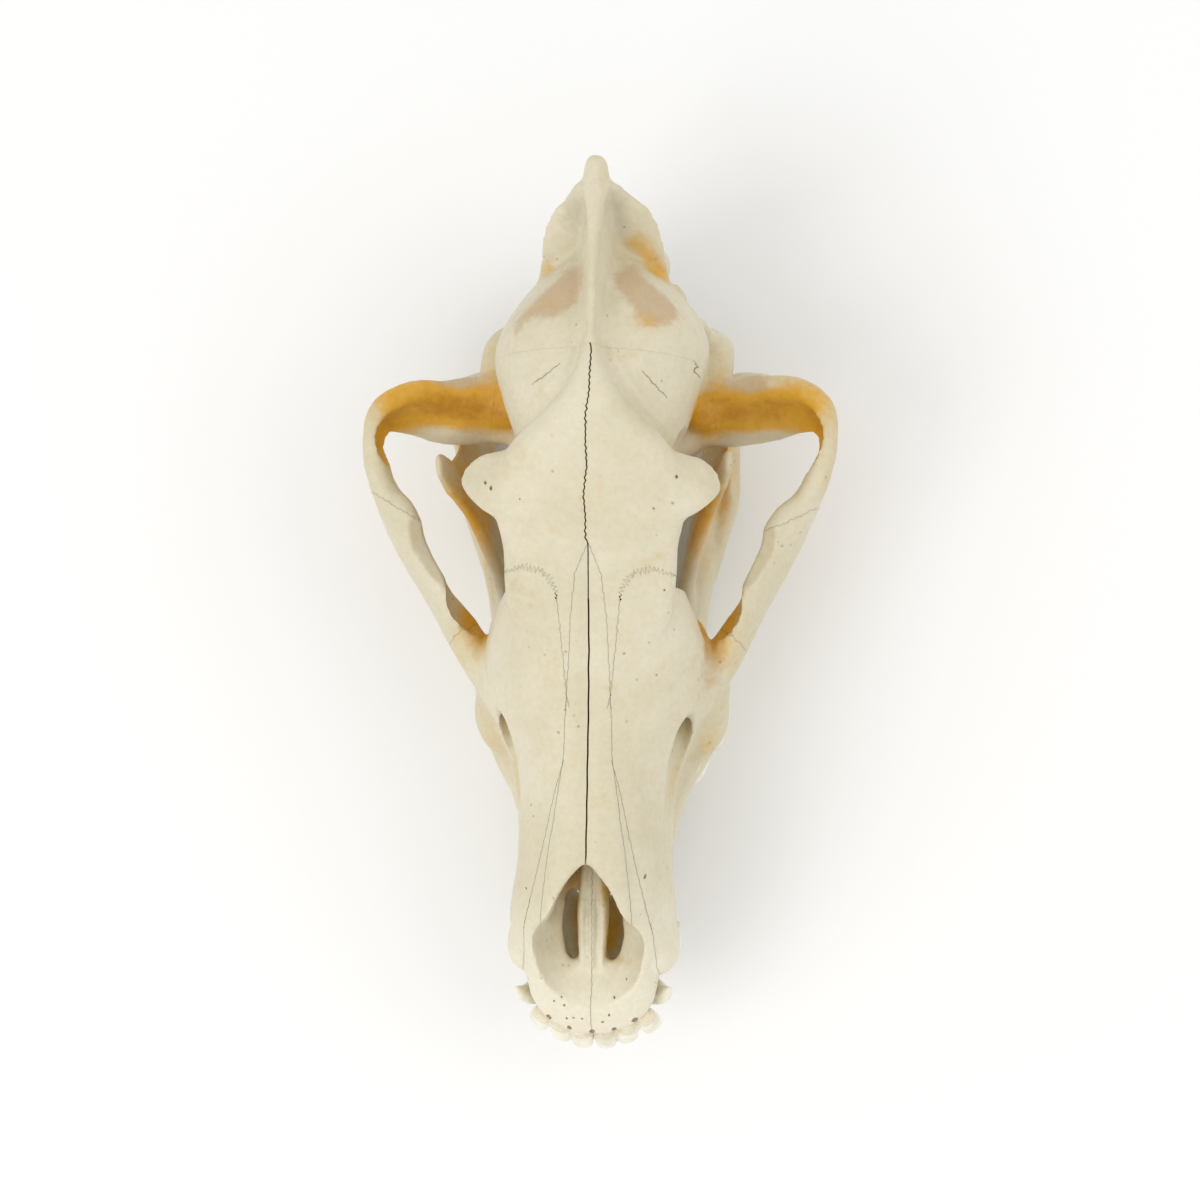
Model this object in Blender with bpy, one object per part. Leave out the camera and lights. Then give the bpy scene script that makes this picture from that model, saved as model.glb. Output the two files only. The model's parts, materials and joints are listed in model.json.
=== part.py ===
"""A wolf's skull with its lower jaw, life size, resting on a table on the jaw's underside.

Every form is laid out in the skull's own axes, in millimetres: x to the animal's left, y from the
front of the upper jaw backwards, z up from the sockets of the upper teeth. The forms are fused into
one cranium and one lower jaw, hollowed, parted along their sutures into bones, and last turned nose
up onto the table and brought to metres.
"""

import math

import bmesh
import bpy
import numpy as np
from mathutils import Matrix, Vector

MM = 0.001

# Driving dimensions of the whole skull, in millimetres.
SKULL_LENGTH = 255.0
CREST_Z = 89.0
SUTURE = 0.3

# The bellies of the lower jaw and its two angular processes touch the table, all at one level.
BELLY_Y = 112.0
BELLY_Z = -38.0
REST_TILT = math.radians(6.0)
FOOT_FLAT = 0.65
# As in the photograph, the loose jaw lies a little turned to the animal's right.
JAW_TURN = math.radians(1.65)
JAW_PIVOT = (0.0, 10.0, 0.0)

# The animal's arches stand this far to its right in the middle and this far back or forward behind.
ARCH_SHIFT = -1.9
ARCH_STEP = 1.5
REAR_SHIFT = 1.1

# How fine the fused surfaces are.
VOXEL = 0.9
CRANIUM_TRIANGLES = 7800
JAW_TRIANGLES = 4000

BONE = (0.83, 0.78, 0.62)


def clear_scene():
    for obj in list(bpy.data.objects):
        bpy.data.objects.remove(obj)


def add_object(name, shape):
    """Links a bmesh to the scene as a named object."""
    mesh = bpy.data.meshes.new(name)
    shape.to_mesh(mesh)
    shape.free()
    obj = bpy.data.objects.new(name, mesh)
    bpy.context.scene.collection.objects.link(obj)
    return obj


def between(rows, steps, spaced_by=3):
    """The rows, with smooth rows set between them. Distances are those of the first few columns."""
    points = np.array(rows, float)
    gaps = np.linalg.norm(np.diff(points[:, :spaced_by], axis=0), axis=1)
    at = np.concatenate([[0.0], np.cumsum(gaps)])
    slope = np.gradient(points, at, axis=0)
    made = []
    for i, span in enumerate(gaps):
        for t in np.arange(steps) / steps:
            made.append((2 * t**3 - 3 * t**2 + 1) * points[i] + (t**3 - 2 * t**2 + t) * span * slope[i]
                        + (3 * t**2 - 2 * t**3) * points[i + 1] + (t**3 - t**2) * span * slope[i + 1])
    return made + [points[-1]]


def ring(centre, side, up, down, power, count):
    """One closed section: an oval, squarer where the power is over 2 and sharper where it is under."""
    made = []
    for k in range(count):
        turn = 2 * math.pi * k / count
        c, s = math.cos(turn), math.sin(turn)
        across = math.copysign(abs(c) ** (2 / power), c)
        along = abs(s) ** (2 / power)
        made.append(centre + side * across + (up if s > 0 else down) * along)
    return made


def skin(name, rings):
    """A closed form stretched over its sections."""
    shape = bmesh.new()
    loops = [[shape.verts.new(p) for p in points] for points in rings]
    for near, far in zip(loops, loops[1:]):
        for i in range(len(near)):
            j = (i + 1) % len(near)
            shape.faces.new((near[i], near[j], far[j], far[i]))
    shape.faces.new(loops[0])
    shape.faces.new(reversed(loops[-1]))
    bmesh.ops.recalc_face_normals(shape, faces=shape.faces)
    return add_object(name, shape)


def trunk(name, rows, power=2.0, steps=4, count=40):
    """A form along y. Each row is (y, half width, lowest z, z of the widest level, highest z)."""
    rings = []
    for y, half, low, wide, high in between(rows, steps, 1):
        rings.append(ring(Vector((0, y, wide)), Vector((max(half, 0.2), 0, 0)),
                          Vector((0, 0, max(high - wide, 0.2))), Vector((0, 0, min(low - wide, -0.2))),
                          power, count))
    return skin(name, rings)


def limb(name, rows, power=2.0, steps=4, count=20, away_from=None):
    """A form along a path. Each row is (x, y, z, half thickness, half height, lean in degrees).
    Its height stands as near upright as the path allows, or points away from a given centre."""
    fine = between(rows, steps)
    path = [Vector(row[:3]) for row in fine]
    body = []
    for i, row in enumerate(fine):
        ahead = (path[min(i + 1, len(path) - 1)] - path[max(i - 1, 0)]).normalized()
        aim = path[i] - Vector(away_from) if away_from else Vector((0, 0, 1))
        side = ahead.cross(aim).normalized()
        up = side.cross(ahead).normalized()
        turn = Matrix.Rotation(math.radians(row[5]), 3, ahead)
        body.append((path[i], turn @ side * max(row[3], 0.2), turn @ up * max(row[4], 0.2), ahead))
    for end, sign in ((0, -1), (-1, 1)):
        centre, side, up, ahead = body[end]
        reach = sign * min(side.length, up.length)
        caps = [(centre + ahead * reach * math.sin(a), side * math.cos(a), up * math.cos(a), ahead)
                for a in map(math.radians, (35, 62, 83))]
        body = caps[::-1] + body if sign < 0 else body + caps
    return skin(name, [ring(c, side, up, -up, power, count) for c, side, up, _ in body])


def blade(name, rows, steps=4, count=32):
    """An upright plate. Each row is (z, front y, back y, x in front, x behind, half thickness)."""
    rings = []
    for z, front, back, x_front, x_back, half in between(rows, steps, 1):
        reach = Vector((x_back - x_front, back - front, 0)) / 2
        wide = Vector((reach.y, -reach.x, 0)).normalized() * max(half, 0.2)
        centre = Vector(((x_front + x_back) / 2, (front + back) / 2, z))
        rings.append(ring(centre, reach, wide, -wide, 2.6, count))
    return skin(name, rings)


def ball(name, centre, radii, turn=(0, 0, 0), count=28):
    """An egg shape. turn is in degrees about x, then y, then z."""
    shape = bmesh.new()
    bmesh.ops.create_uvsphere(shape, u_segments=count, v_segments=count // 2, radius=1)
    rotation = Matrix.Identity(4)
    for axis, degrees in zip("XYZ", turn):
        rotation = Matrix.Rotation(math.radians(degrees), 4, axis) @ rotation
    placed = Matrix.Translation(centre) @ rotation @ Matrix.Diagonal((*radii, 1))
    bmesh.ops.transform(shape, verts=shape.verts, matrix=placed)
    return add_object(name, shape)


def tooth(name, rows, bearing, count=12):
    """A crown with its root. Each row is (z, x, y, half length along the tooth row, half width)."""
    along = Vector((math.sin(math.radians(bearing)), math.cos(math.radians(bearing)), 0))
    across = Vector((along.y, -along.x, 0))
    rings = []
    for z, x, y, length, width in between(rows, 3, 1):
        rings.append(ring(Vector((x, y, z)), along * max(length, 0.2), across * max(width, 0.2),
                          across * min(-width, -0.2), 2.2, count))
    return skin(name, rings)


# Outlines of a crown: how far up it, and what share of its half length and half width it has there.
POINTED = ((0.0, 0.9, 0.8), (0.22, 1.0, 1.0), (0.62, 0.62, 0.66), (0.9, 0.26, 0.3), (1.0, 0.1, 0.12))
CUTTING = ((0.0, 0.86, 0.95), (0.3, 1.0, 1.0), (0.7, 0.98, 0.74), (0.93, 0.8, 0.44), (1.0, 0.5, 0.26))


def cusp(name, foot, tip, half_length, half_width, bearing, profile=POINTED, root=7.0):
    """One cone of a tooth: from its root in the bone, over its neck, to its point."""
    foot, tip = Vector(foot), Vector(tip)
    sign = math.copysign(1, tip.z - foot.z)
    rows = [(foot.z - sign * root, foot.x, foot.y, half_length * 0.6, half_width * 0.6)]
    for share, length, width in profile:
        at = foot.lerp(tip, share)
        rows.append((at.z, at.x, at.y, half_length * length, half_width * width))
    return tooth(name, rows, bearing)


def snout():
    """The upper jaw's long box, from the front teeth to the face below the eyes."""
    trunk("snout", [
        (0, 5.0, 1, 4.5, 7.2), (2.2, 10.8, 0.5, 5, 9.5), (5.7, 15.6, 0, 6, 12.8), (10.5, 18.8, 0, 7, 16.8),
        (16, 20.2, 0, 9, 25.5), (21, 20.5, 0, 10, 32.8),
        (27, 23.6, 0, 10, 38), (34, 25.2, 0, 11, 44.5), (50, 24.0, 0, 12, 49), (68, 23.7, 1, 13, 51.5),
        (80, 25.5, 1, 13, 53.2), (90, 29.5, 2, 13, 55), (102, 34.0, 3, 16, 58), (114, 35.0, 4, 20, 61.5),
        (124, 32.5, 9, 25, 66), (134, 27.0, 16, 34, 71)], power=2.25)
    trunk("nasal_roof", [
        (33, 14.0, 30, 40, 45), (50, 13.0, 34, 42, 49.6), (75, 11.5, 36, 44, 52.5),
        (100, 12, 38, 46, 57.2),
        (125, 16, 40, 50, 65.3), (140, 19, 44, 58, 72.3)], power=2.8)


def cheek():
    """One side's outer wall over the great cheek teeth, and the root of its arch."""
    ball("canine_swell", (20.2, 27.5, 10.0), (6.3, 8.5, 13.5), turn=(14, 0, 0))
    ball("cheek_swell", (31.0, 97.5, 6.5), (8.6, 13.0, 9.0), turn=(0, 0, -12))
    ball("tooth_swell", (31.0, 108.0, 5.0), (9.0, 13.0, 6.0), turn=(0, 0, 8))
    limb("socket_rim", [(16.5, 18, 3, 4.0, 3.2, 0), (19.6, 40, 3, 4.2, 3.6, 0),
                        (19.8, 58, 3, 3.8, 3.6, 0),
                        (22.4, 72, 3.5, 4.2, 4, 0), (29.5, 90, 4, 6, 4.4, 0), (29.5, 114, 5, 7, 4.2, 0)])


def arch():
    """One cheek arch: an upright strap in front that lies back as a shelf where it joins the skull."""
    limb("arch", [
        (28, 100, 18, 6.0, 12.0, 0), (35.5, 111, 20.0, 5.8, 12.2, 0), (42.0, 122, 23.5, 5.2, 11.0, -6),
        (49.4, 134.5, 27.0, 3.4, 9.8, -20), (56.2, 147, 31.2, 3.4, 9.6, -24),
        (62.4, 159, 35.0, 4.0, 7.2, -16), (66.6, 169, 38.3, 3.8, 6.6, -4),
        (67.4, 179, 40.0, 4.3, 6.6, 12), (65.4, 187.0, 38.6, 4.4, 7.6, 32),
        (59.0, 190.4, 34.6, 3.8, 9.8, 44), (50.0, 190.0, 30.4, 3.6, 11.4, 50),
        (40.0, 190.0, 28.4, 4.0, 12.2, 50), (28.0, 191.5, 27.0, 5.5, 11.5, 48)], power=2.3)
    limb("eye_spur", [(61.2, 161.5, 38.4, 2.6, 3.0, 0), (57.0, 156.4, 40.0, 3.3, 3.2, 0),
                      (54.4, 152.6, 40.0, 2.8, 3.6, 0), (53.2, 147.0, 37.0, 2.5, 4.4, 0)])
    limb("joint_roof", [(26, 190.6, 23.0, 11.0, 5.5, 0), (44, 190.8, 22.8, 9.6, 4.8, 0),
                        (54, 190.2, 25.0, 8.0, 4.2, 0)], power=2.6)
    limb("jaw_stop", [(34, 201.5, 18, 3.2, 4.8, 0), (42, 201.4, 16.5, 2.8, 5.6, 0),
                      (50, 199.8, 19, 2.4, 4.4, 0)])
    limb("ear_ridge", [(30, 190, 29, 7.0, 6.0, 0), (32.4, 201, 29.5, 6.6, 5.6, 0),
                       (33.0, 209.0, 28.5, 5.6, 4.6, 0), (29.6, 212.5, 25, 5.2, 4.6, 0)])


def forehead():
    """The brow plate: narrow between the eyes, wide at the brow horns, then drawn in to the crest."""
    trunk("forehead", [
        (112, 18, 40, 50, 60.5), (124, 24, 44, 58, 66), (135, 25, 50, 64, 71.5),
        (143, 25.6, 54, 68, 75.5),
        (155, 28, 58, 71.5, 80.5), (166, 26.5, 60, 73.5, 84), (174, 21, 62, 76, 86.2),
        (182, 12, 66, 79, 87.5),
        (192, 5, 68, 80, 88), (202, 2.4, 70, 80, 88.6)], power=2.6)
    trunk("brow_core", [
        (108, 15, 14, 36, 55), (125, 15, 16, 44, 62), (143, 14.5, 18, 56, 72), (160, 16, 20, 60, 80),
        (176, 21, 22, 56, 82)], power=2.2)


def brow_horn():
    """One side's horn of the brow, blunt and flat, over the back of the eye."""
    limb("brow_horn", [(16, 160, 74.5, 13, 5.5, 0), (25, 160.5, 73.2, 10.5, 4.6, 0),
                       (31.5, 162.0, 71.0, 7.6, 3.3, 0),
                       (35.2, 163.0, 68.5, 5.0, 2.4, 0)], power=2.4)


def braincase():
    trunk("braincase", [
        (164, 17, 22, 48, 74), (173, 23.4, 21, 50, 81), (184, 27.2, 19, 50, 82.5),
        (196, 30.6, 17, 48, 82),
        (207, 31.8, 16, 46, 81), (218, 26.0, 16, 44, 77.5), (227, 18.5, 17, 42, 71),
        (235, 12.5, 18, 38, 64),
        (241, 8, 19, 34, 56)], power=2.1)
    trunk("crest", [
        (178, 12, 60, 76, 86.5), (192, 7.5, 60, 76, CREST_Z - 1), (206, 5.5, 60, 74, CREST_Z),
        (222, 5, 55, 72, CREST_Z), (238, 4.5, 52, 70, CREST_Z - 1), (248, 3.6, 58, 72, CREST_Z - 2.5),
        (SKULL_LENGTH - 1, 2.6, 70, 78, 86)], power=1.1)
    trunk("crest_edge", [
        (190, 1.4, 70, 84, CREST_Z - 0.8), (206, 1.3, 70, 84, CREST_Z), (225, 1.6, 70, 84, CREST_Z),
        (239, 2.7, 70, 82, CREST_Z - 1.2), (247, 3.8, 71, 81, CREST_Z - 2.4),
        (252, 3.3, 73, 80.5, CREST_Z - 3.4), (SKULL_LENGTH, 2.4, 75, 80, 84.6)], power=2.6)


def nape_crest():
    """One side's crest of the nape: from the back knob out and down to behind the ear."""
    limb("nape_crest", [
        (0.8, 245.5, 77, 2.6, 7.0, 0), (4.8, 241.0, 73.6, 2.3, 8.0, 0), (9.0, 235.6, 67.2, 2.0, 8.8, 0),
        (10.4, 228.6, 59.9, 2.0, 8.8, 0), (12.8, 221.0, 51.1, 2.0, 8.6, 0),
        (21.4, 215.8, 40.2, 2.2, 6.6, 0),
        (29.0, 211.5, 28, 2.8, 5.6, 0)], away_from=(0, 212, 42), power=1.7)
    ball("mastoid", (29.5, 211, 22), (5.5, 6.0, 8.0))
    limb("neck_horn", [(18, 224, 26, 3.5, 7, 0), (20.0, 226, 14, 2.6, 5, 0), (20.5, 227, 5, 1.6, 3, 0)],
         away_from=(0, 150, 15))


def nape():
    trunk("nape", [(218, 22, 14, 34, 68), (228, 15.5, 15, 34, 71), (236, 10, 17, 36, 76),
                   (243, 5.5, 22, 40, 80),
                   (247, 3, 40, 52, 82)], power=1.7)
    trunk("neck_ring", [(222, 16, 10, 24, 44), (234, 15, 10, 24, 42), (241, 12, 12, 24, 40)], power=2.3)


def neck_joint():
    ball("neck_joint", (10.5, 236.5, 18.5), (6.6, 8.0, 9.5), turn=(20, 0, -24))


def skull_base():
    trunk("base", [(112, 13, 12, 22, 44), (128, 12, 15, 24, 46), (150, 11, 18, 28, 50),
                   (175, 14, 17, 30, 54),
                   (200, 15, 14, 28, 50), (222, 13, 12, 24, 44), (236, 10, 12, 20, 36)], power=2.3)


def base_parts():
    """One side's ear drum shell and the plate beside the inner nostril."""
    ball("ear_drum", (19.5, 210.0, 14.5), (10.5, 14.5, 11.5), turn=(0, 0, 14))
    limb("drum_snout", [(15, 200, 14, 3, 4, 0), (11, 192, 15, 2, 3, 0)])
    limb("nostril_plate", [(13.5, 118, 10, 2.4, 8, 0), (12.0, 134, 12, 1.7, 8.6, 0),
                           (11.2, 150, 13, 1.5, 9, 0),
                           (11.6, 162, 12.5, 1.4, 7, 0), (12.2, 168, 8, 1.2, 3.4, 0)])
    limb("side_wing", [(12, 160, 20, 3, 7, 0), (17, 172, 22, 3, 7, 0), (24, 184, 22, 8, 6, 0)])


# Each tooth point: name, foot, tip, half length along the row, half width, bearing of the row.
UPPER_TEETH = (
    ("i1", (3.5, 1.4, 1.5), (3.6, -4.4, -6.5), 3.4, 3.0, 88, CUTTING, 4.0),
    ("i2", (10.0, 3.2, 1.5), (10.6, -2.4, -7.0), 3.5, 3.1, 70, CUTTING, 4.0),
    ("i3", (15.6, 5.6, 1.5), (18.4, 1.6, -9.0), 3.6, 3.0, 48, CUTTING, 4.0),
    ("p1", (20.0, 39.5, 0), (20.2, 39.5, -4.8), 3.2, 2.3, 2),
    ("p2", (20.4, 51.5, 0), (20.6, 50.5, -7.2), 6.2, 2.8, 2),
    ("p3", (21.8, 66.0, 0), (22.2, 65.0, -8.4), 7.2, 3.0, 8),
    ("p4_main", (28.6, 82.5, 0), (29.2, 83.0, -13.0), 8.0, 3.9, 30),
    ("p4_blade", (35.0, 93.0, 0), (35.4, 94.0, -9.5), 5.6, 3.6, 26),
    ("p4_inner", (24.0, 77.5, 0), (23.8, 77.5, -3.8), 3.0, 2.8, 24),
    ("m1_front", (36.2, 101.5, 0), (36.0, 102.0, -7.0), 4.4, 4.2, 0),
    ("m1_back", (35.0, 108.5, 0), (34.8, 108.5, -5.6), 4.0, 4.0, -10),
    ("m1_inner", (28.6, 105.5, 0), (28.0, 105.5, -3.4), 5.6, 5.4, 0),
    ("m2_outer", (30.6, 115.0, 1.5), (30.4, 115.2, -3.0), 3.8, 3.6, -12),
    ("m2_inner", (25.6, 115.0, 1.5), (25.4, 115.2, -1.8), 3.6, 4.0, 0),
)
LOWER_TEETH = (
    ("low_i1", (2.3, 8.5, -11), (2.4, 5.6, -4.4), 2.0, 2.2, 88, CUTTING),
    ("low_i2", (6.3, 9.5, -11), (6.8, 7.0, -4.0), 2.4, 2.5, 78, CUTTING),
    ("low_i3", (10.2, 11.5, -11), (11.4, 9.6, -3.6), 2.6, 2.6, 60, CUTTING),
    ("low_p1", (14.6, 31.0, -12), (14.6, 30.6, -8.4), 2.5, 2.0, 6),
    ("low_p2", (15.8, 42.5, -12), (15.8, 41.5, -6.4), 5.4, 2.5, 6),
    ("low_p3", (16.8, 55.5, -11.5), (16.8, 54.6, -5.2), 6.2, 2.8, 8),
    ("low_p4", (17.2, 69.0, -11), (16.9, 68.6, -5.2), 6.6, 2.6, 10),
    ("low_m1_front", (20.0, 82.0, -10.5), (19.8, 82.0, -4.4), 5.4, 3.2, 14),
    ("low_m1_main", (22.6, 90.5, -10.5), (22.3, 90.5, -2.4), 5.8, 3.6, 18),
    ("low_m1_heel", (26.0, 101.0, -10.5), (25.8, 101.0, -6.4), 6.0, 4.0, 14),
    ("low_m2", (28.2, 111.5, -10.5), (28.0, 111.5, -7.2), 5.4, 3.8, 12),
    ("low_m3", (29.2, 119.6, -10), (29.1, 119.6, -8.0), 2.5, 2.3, 12),
)


def upper_teeth():
    for name, *sizes in UPPER_TEETH:
        cusp(name, *sizes)
    tooth("upper_canine", [(16, 19.8, 30, 4.0, 3.0), (4, 20.4, 26.5, 5.6, 3.4), (0, 20.4, 26.0, 6.6, 4.0),
                           (-9, 21.5, 26.6, 5.8, 3.7), (-18, 23.2, 29.2, 3.7, 2.8),
                           (-24, 23.8, 32.4, 1.7, 1.4),
                           (-26.5, 24.0, 34.0, 0.6, 0.6)], 4, count=16)


def lower_teeth():
    for name, *sizes in LOWER_TEETH:
        cusp(name, *sizes)
    tooth("lower_canine", [(-24, 10.5, 22, 4.0, 3.4), (-14, 13.2, 14.8, 5.2, 4.2),
                           (-9, 15.3, 13.6, 5.0, 4.0),
                           (-3, 18.6, 12.3, 4.1, 3.3), (2, 21.3, 11.9, 2.9, 2.6),
                           (6, 23.1, 13.0, 1.5, 1.4),
                           (8, 23.7, 14.0, 0.5, 0.5)], 30, count=16)


def jaw_side():
    """One half of the lower jaw."""
    limb("jaw_body", [
        (5.6, 13, -17.5, 5.2, 6.2, 0), (8.6, 22, -20, 6.2, 8.6, 0), (11.5, 35, -22.2, 5.8, 10.2, 0),
        (15.2, 55, -23.4, 5.2, 11.2, 0), (20.0, 75, -24.0, 5.6, 12.6, 0), (25.4, 95, -24.7, 6.0, 14.1, 0),
        (29.0, 113, -24.6, 6.0, 14.6, 0), (30.0, 132, -21.5, 5.2, 13.6, 0),
        (33.0, 150, -18, 4.6, 13.4, 0)],
        power=2.5)
    blade("jaw_branch", [
        (-33, 130, 176, 29.6, 36.6, 2.4), (-26, 130, 192, 28.8, 37.6, 3.6),
        (-14, 134, 195.5, 28.2, 39.6, 3.2),
        (-2, 139, 192.5, 28.4, 41.4, 2.7), (10, 148, 182, 31.6, 42.4, 2.3),
        (22, 157, 176, 35.8, 43.6, 2.0),
        (34, 163.0, 175.5, 39.8, 43.6, 1.8), (42, 165.5, 175.5, 42.2, 43.8, 1.6),
        (46.5, 168, 174.5, 43.4, 43.8, 1.2)])
    limb("branch_front", [(28.6, 128, -14, 4.0, 5, 0), (28.9, 139, -2, 2.8, 4, 0),
                          (31.6, 148, 10, 2.5, 3.4, 0),
                          (35.6, 157.5, 22, 2.1, 3, 0),
                          (41.6, 166, 38, 1.8, 2.6, 0)], away_from=(36, 175, -10))
    limb("jaw_joint", [(37.5, 191.6, 9.4, 3.6, 3.9, 0), (46, 192.8, 9.6, 4.3, 4.4, 0),
                       (55.5, 192.4, 10.2, 3.5, 3.8, 0)])
    limb("joint_neck", [(40.5, 186, -8, 3.4, 6, 0), (43.0, 190, 2, 3.4, 5.0, 0),
                        (45, 192.4, 8.5, 3.4, 3.8, 0)],
         away_from=(42, 150, 0))
    limb("jaw_corner", [(36.5, 172, -27, 3.8, 5.4, 0), (38.0, 186, -25.0, 3.8, 5.4, 0),
                        (37.8, 198, -24.0, 3.2, 4.4, 0),
                        (36.4, 206, -21.0, 1.8, 2.6, 0)])
    limb("muscle_shelf", [(34.6, 146, -24, 3.6, 3.8, 0), (39.4, 160, -24.5, 3.4, 3.6, 0),
                          (43.0, 173, -21, 3.2, 3.4, 0),
                          (43.6, 182, -14, 2.8, 3.0, 0), (43.2, 188.5, -4, 2.8, 3.0, 0)])


def chin():
    trunk("chin", [(8, 8, -22, -17, -10.5), (15, 11.6, -27, -19, -11), (28, 12.6, -31, -22, -14),
                   (42, 10, -33, -25, -19)], power=2.3)


def muscle_hollow():
    """The wide hollow on the outer face of the jaw's upright branch."""
    ball("muscle_hollow", (54.0, 167.0, 4.0), (13.0, 22.0, 28.0), turn=(0, 12, 8))


def mesh_copy(obj, mirrored=False):
    """A bmesh of the object as evaluated, turned to its mirror image if asked."""
    shape = bmesh.new()
    shape.from_mesh(obj.data)
    if mirrored:
        bmesh.ops.transform(shape, verts=shape.verts, matrix=Matrix.Diagonal((-1, 1, 1, 1)))
        bmesh.ops.reverse_faces(shape, faces=shape.faces)
    return shape


def gather(name, middle, sides):
    """Makes the middle forms once and the side forms twice, and joins them into one object."""
    known = set(bpy.data.objects)
    for make in middle:
        make()
    single = [o for o in bpy.data.objects if o not in known]
    for make in sides:
        make()
    paired = [o for o in bpy.data.objects if o not in known and o not in single]
    whole = bmesh.new()
    for obj, mirrored in [(o, False) for o in single + paired] + [(o, True) for o in paired]:
        shape = mesh_copy(obj, mirrored)
        piece = bpy.data.meshes.new("piece")
        shape.to_mesh(piece)
        shape.free()
        whole.from_mesh(piece)
        bpy.data.meshes.remove(piece)
    for obj in single + paired:
        bpy.data.objects.remove(obj)
    return add_object(name, whole)


def join(name, objects):
    """Puts the meshes of several objects into one."""
    whole = bmesh.new()
    for obj in objects:
        whole.from_mesh(obj.data)
        bpy.data.objects.remove(obj)
    return add_object(name, whole)


def settle(obj):
    """Replaces an object's mesh by what its modifiers make of it."""
    graph = bpy.context.evaluated_depsgraph_get()
    graph.update()
    mesh = bpy.data.meshes.new_from_object(obj.evaluated_get(graph))
    obj.modifiers.clear()
    obj.data = mesh


def fuse(obj, voxel):
    """Makes overlapping forms one closed skin."""
    remesh = obj.modifiers.new("fuse", "REMESH")
    remesh.mode = "VOXEL"
    remesh.voxel_size = voxel
    settle(obj)


def soften(obj, rounds, factor=0.5):
    smooth = obj.modifiers.new("soften", "SMOOTH")
    smooth.factor = factor
    smooth.iterations = rounds
    settle(obj)


def carve(obj, cutter):
    """Cuts the cutter out of the object and removes the cutter."""
    cut = obj.modifiers.new("carve", "BOOLEAN")
    cut.operation = "DIFFERENCE"
    cut.solver = "MANIFOLD"
    cut.object = cutter
    settle(obj)
    bpy.data.objects.remove(cutter)


def thin_out(obj, triangles):
    obj.data.calc_loop_triangles()
    collapse = obj.modifiers.new("thin_out", "DECIMATE")
    collapse.ratio = triangles / len(obj.data.loop_triangles)
    collapse.use_collapse_triangulate = True
    settle(obj)


def nostril():
    """The pear-shaped front opening, open above as far back as the notch of the nasal bones."""
    trunk("nostril", [
        (2, 4, 14.5, 30, 60), (6, 10.0, 14.2, 32, 64), (10.5, 13.6, 13.8, 34, 66), (16, 15.4, 13.0, 35, 66),
        (24, 16.6, 12.2, 36, 66), (31, 16.2, 12.2, 38, 66), (33.2, 14.6, 12.6, 38, 66),
        (35.4, 11.8, 13.2, 38, 66), (38, 10.2, 13.8, 38, 66), (41, 8.9, 14.5, 38, 66),
        (45.4, 6.4, 16, 38, 66), (48.5, 3.8, 18, 38, 66), (51.5, 1.0, 22, 38, 66)], power=2.8)
    trunk("nose_hall", [
        (24, 13.5, 13, 24, 34), (34, 13.0, 13, 25, 40), (50, 11.5, 13, 26, 45.5), (70, 10.5, 14, 28, 47),
        (90, 9.0, 17, 29, 46.5), (100, 5.0, 22, 30, 40)], power=2.4)


def nose_wall():
    """The low bony wall that stands in the middle of the nose."""
    for sign in (-1, 1):
        limb("floor_bar", [(sign * 2.9, 18, 10, 1.0, 2.0, 0), (sign * 2.9, 24, 11.5, 1.3, 4.0, 0),
                           (sign * 3.2, 36, 13.5, 1.6, 6.0, 0), (sign * 2.4, 47, 17, 1.7, 7.0, 0),
                           (sign * 1.4, 56, 20, 1.6, 7.0, 0)])
    trunk("nose_wall", [(20, 0.9, 8, 12, 15), (34, 1.0, 8, 16, 20), (55, 1.0, 8, 18, 26),
                        (80, 1.0, 8, 20, 32),
                        (104, 1.0, 8, 20, 36)], power=3.0)


def inner_nostril():
    trunk("inner_nostril", [
        (108, 4.0, 9, 14, 20), (116, 8.8, 2, 12, 21), (124, 9.4, -4, 12, 21.0), (140, 9.2, -4, 12, 21.5),
        (158, 8.6, -4, 11, 20.5), (172, 6.5, -4, 9, 17.0)], power=2.5)
    trunk("palate_hollow", [
        (6, 6, -12, -6, 2), (30, 12, -12, -6, 4.0), (60, 15, -12, -6, 5.0), (95, 20, -12, -6, 5.0),
        (118, 15, -12, -6, 4.0), (126, 9, -12, -6, 2)], power=2.2)
    trunk("neck_hole", [(219, 7, 20, 27, 34), (230, 9.0, 18, 27.5, 37), (240, 10.5, 17, 28, 39),
                        (252, 12, 12, 28, 42)], power=2.1)


def brow_groove():
    """The shallow hollow along the middle of the brow."""
    ball("brow_groove", (0, 123.7, 109.2), (24, 70, 40), turn=(25, 0, 0))


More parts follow.
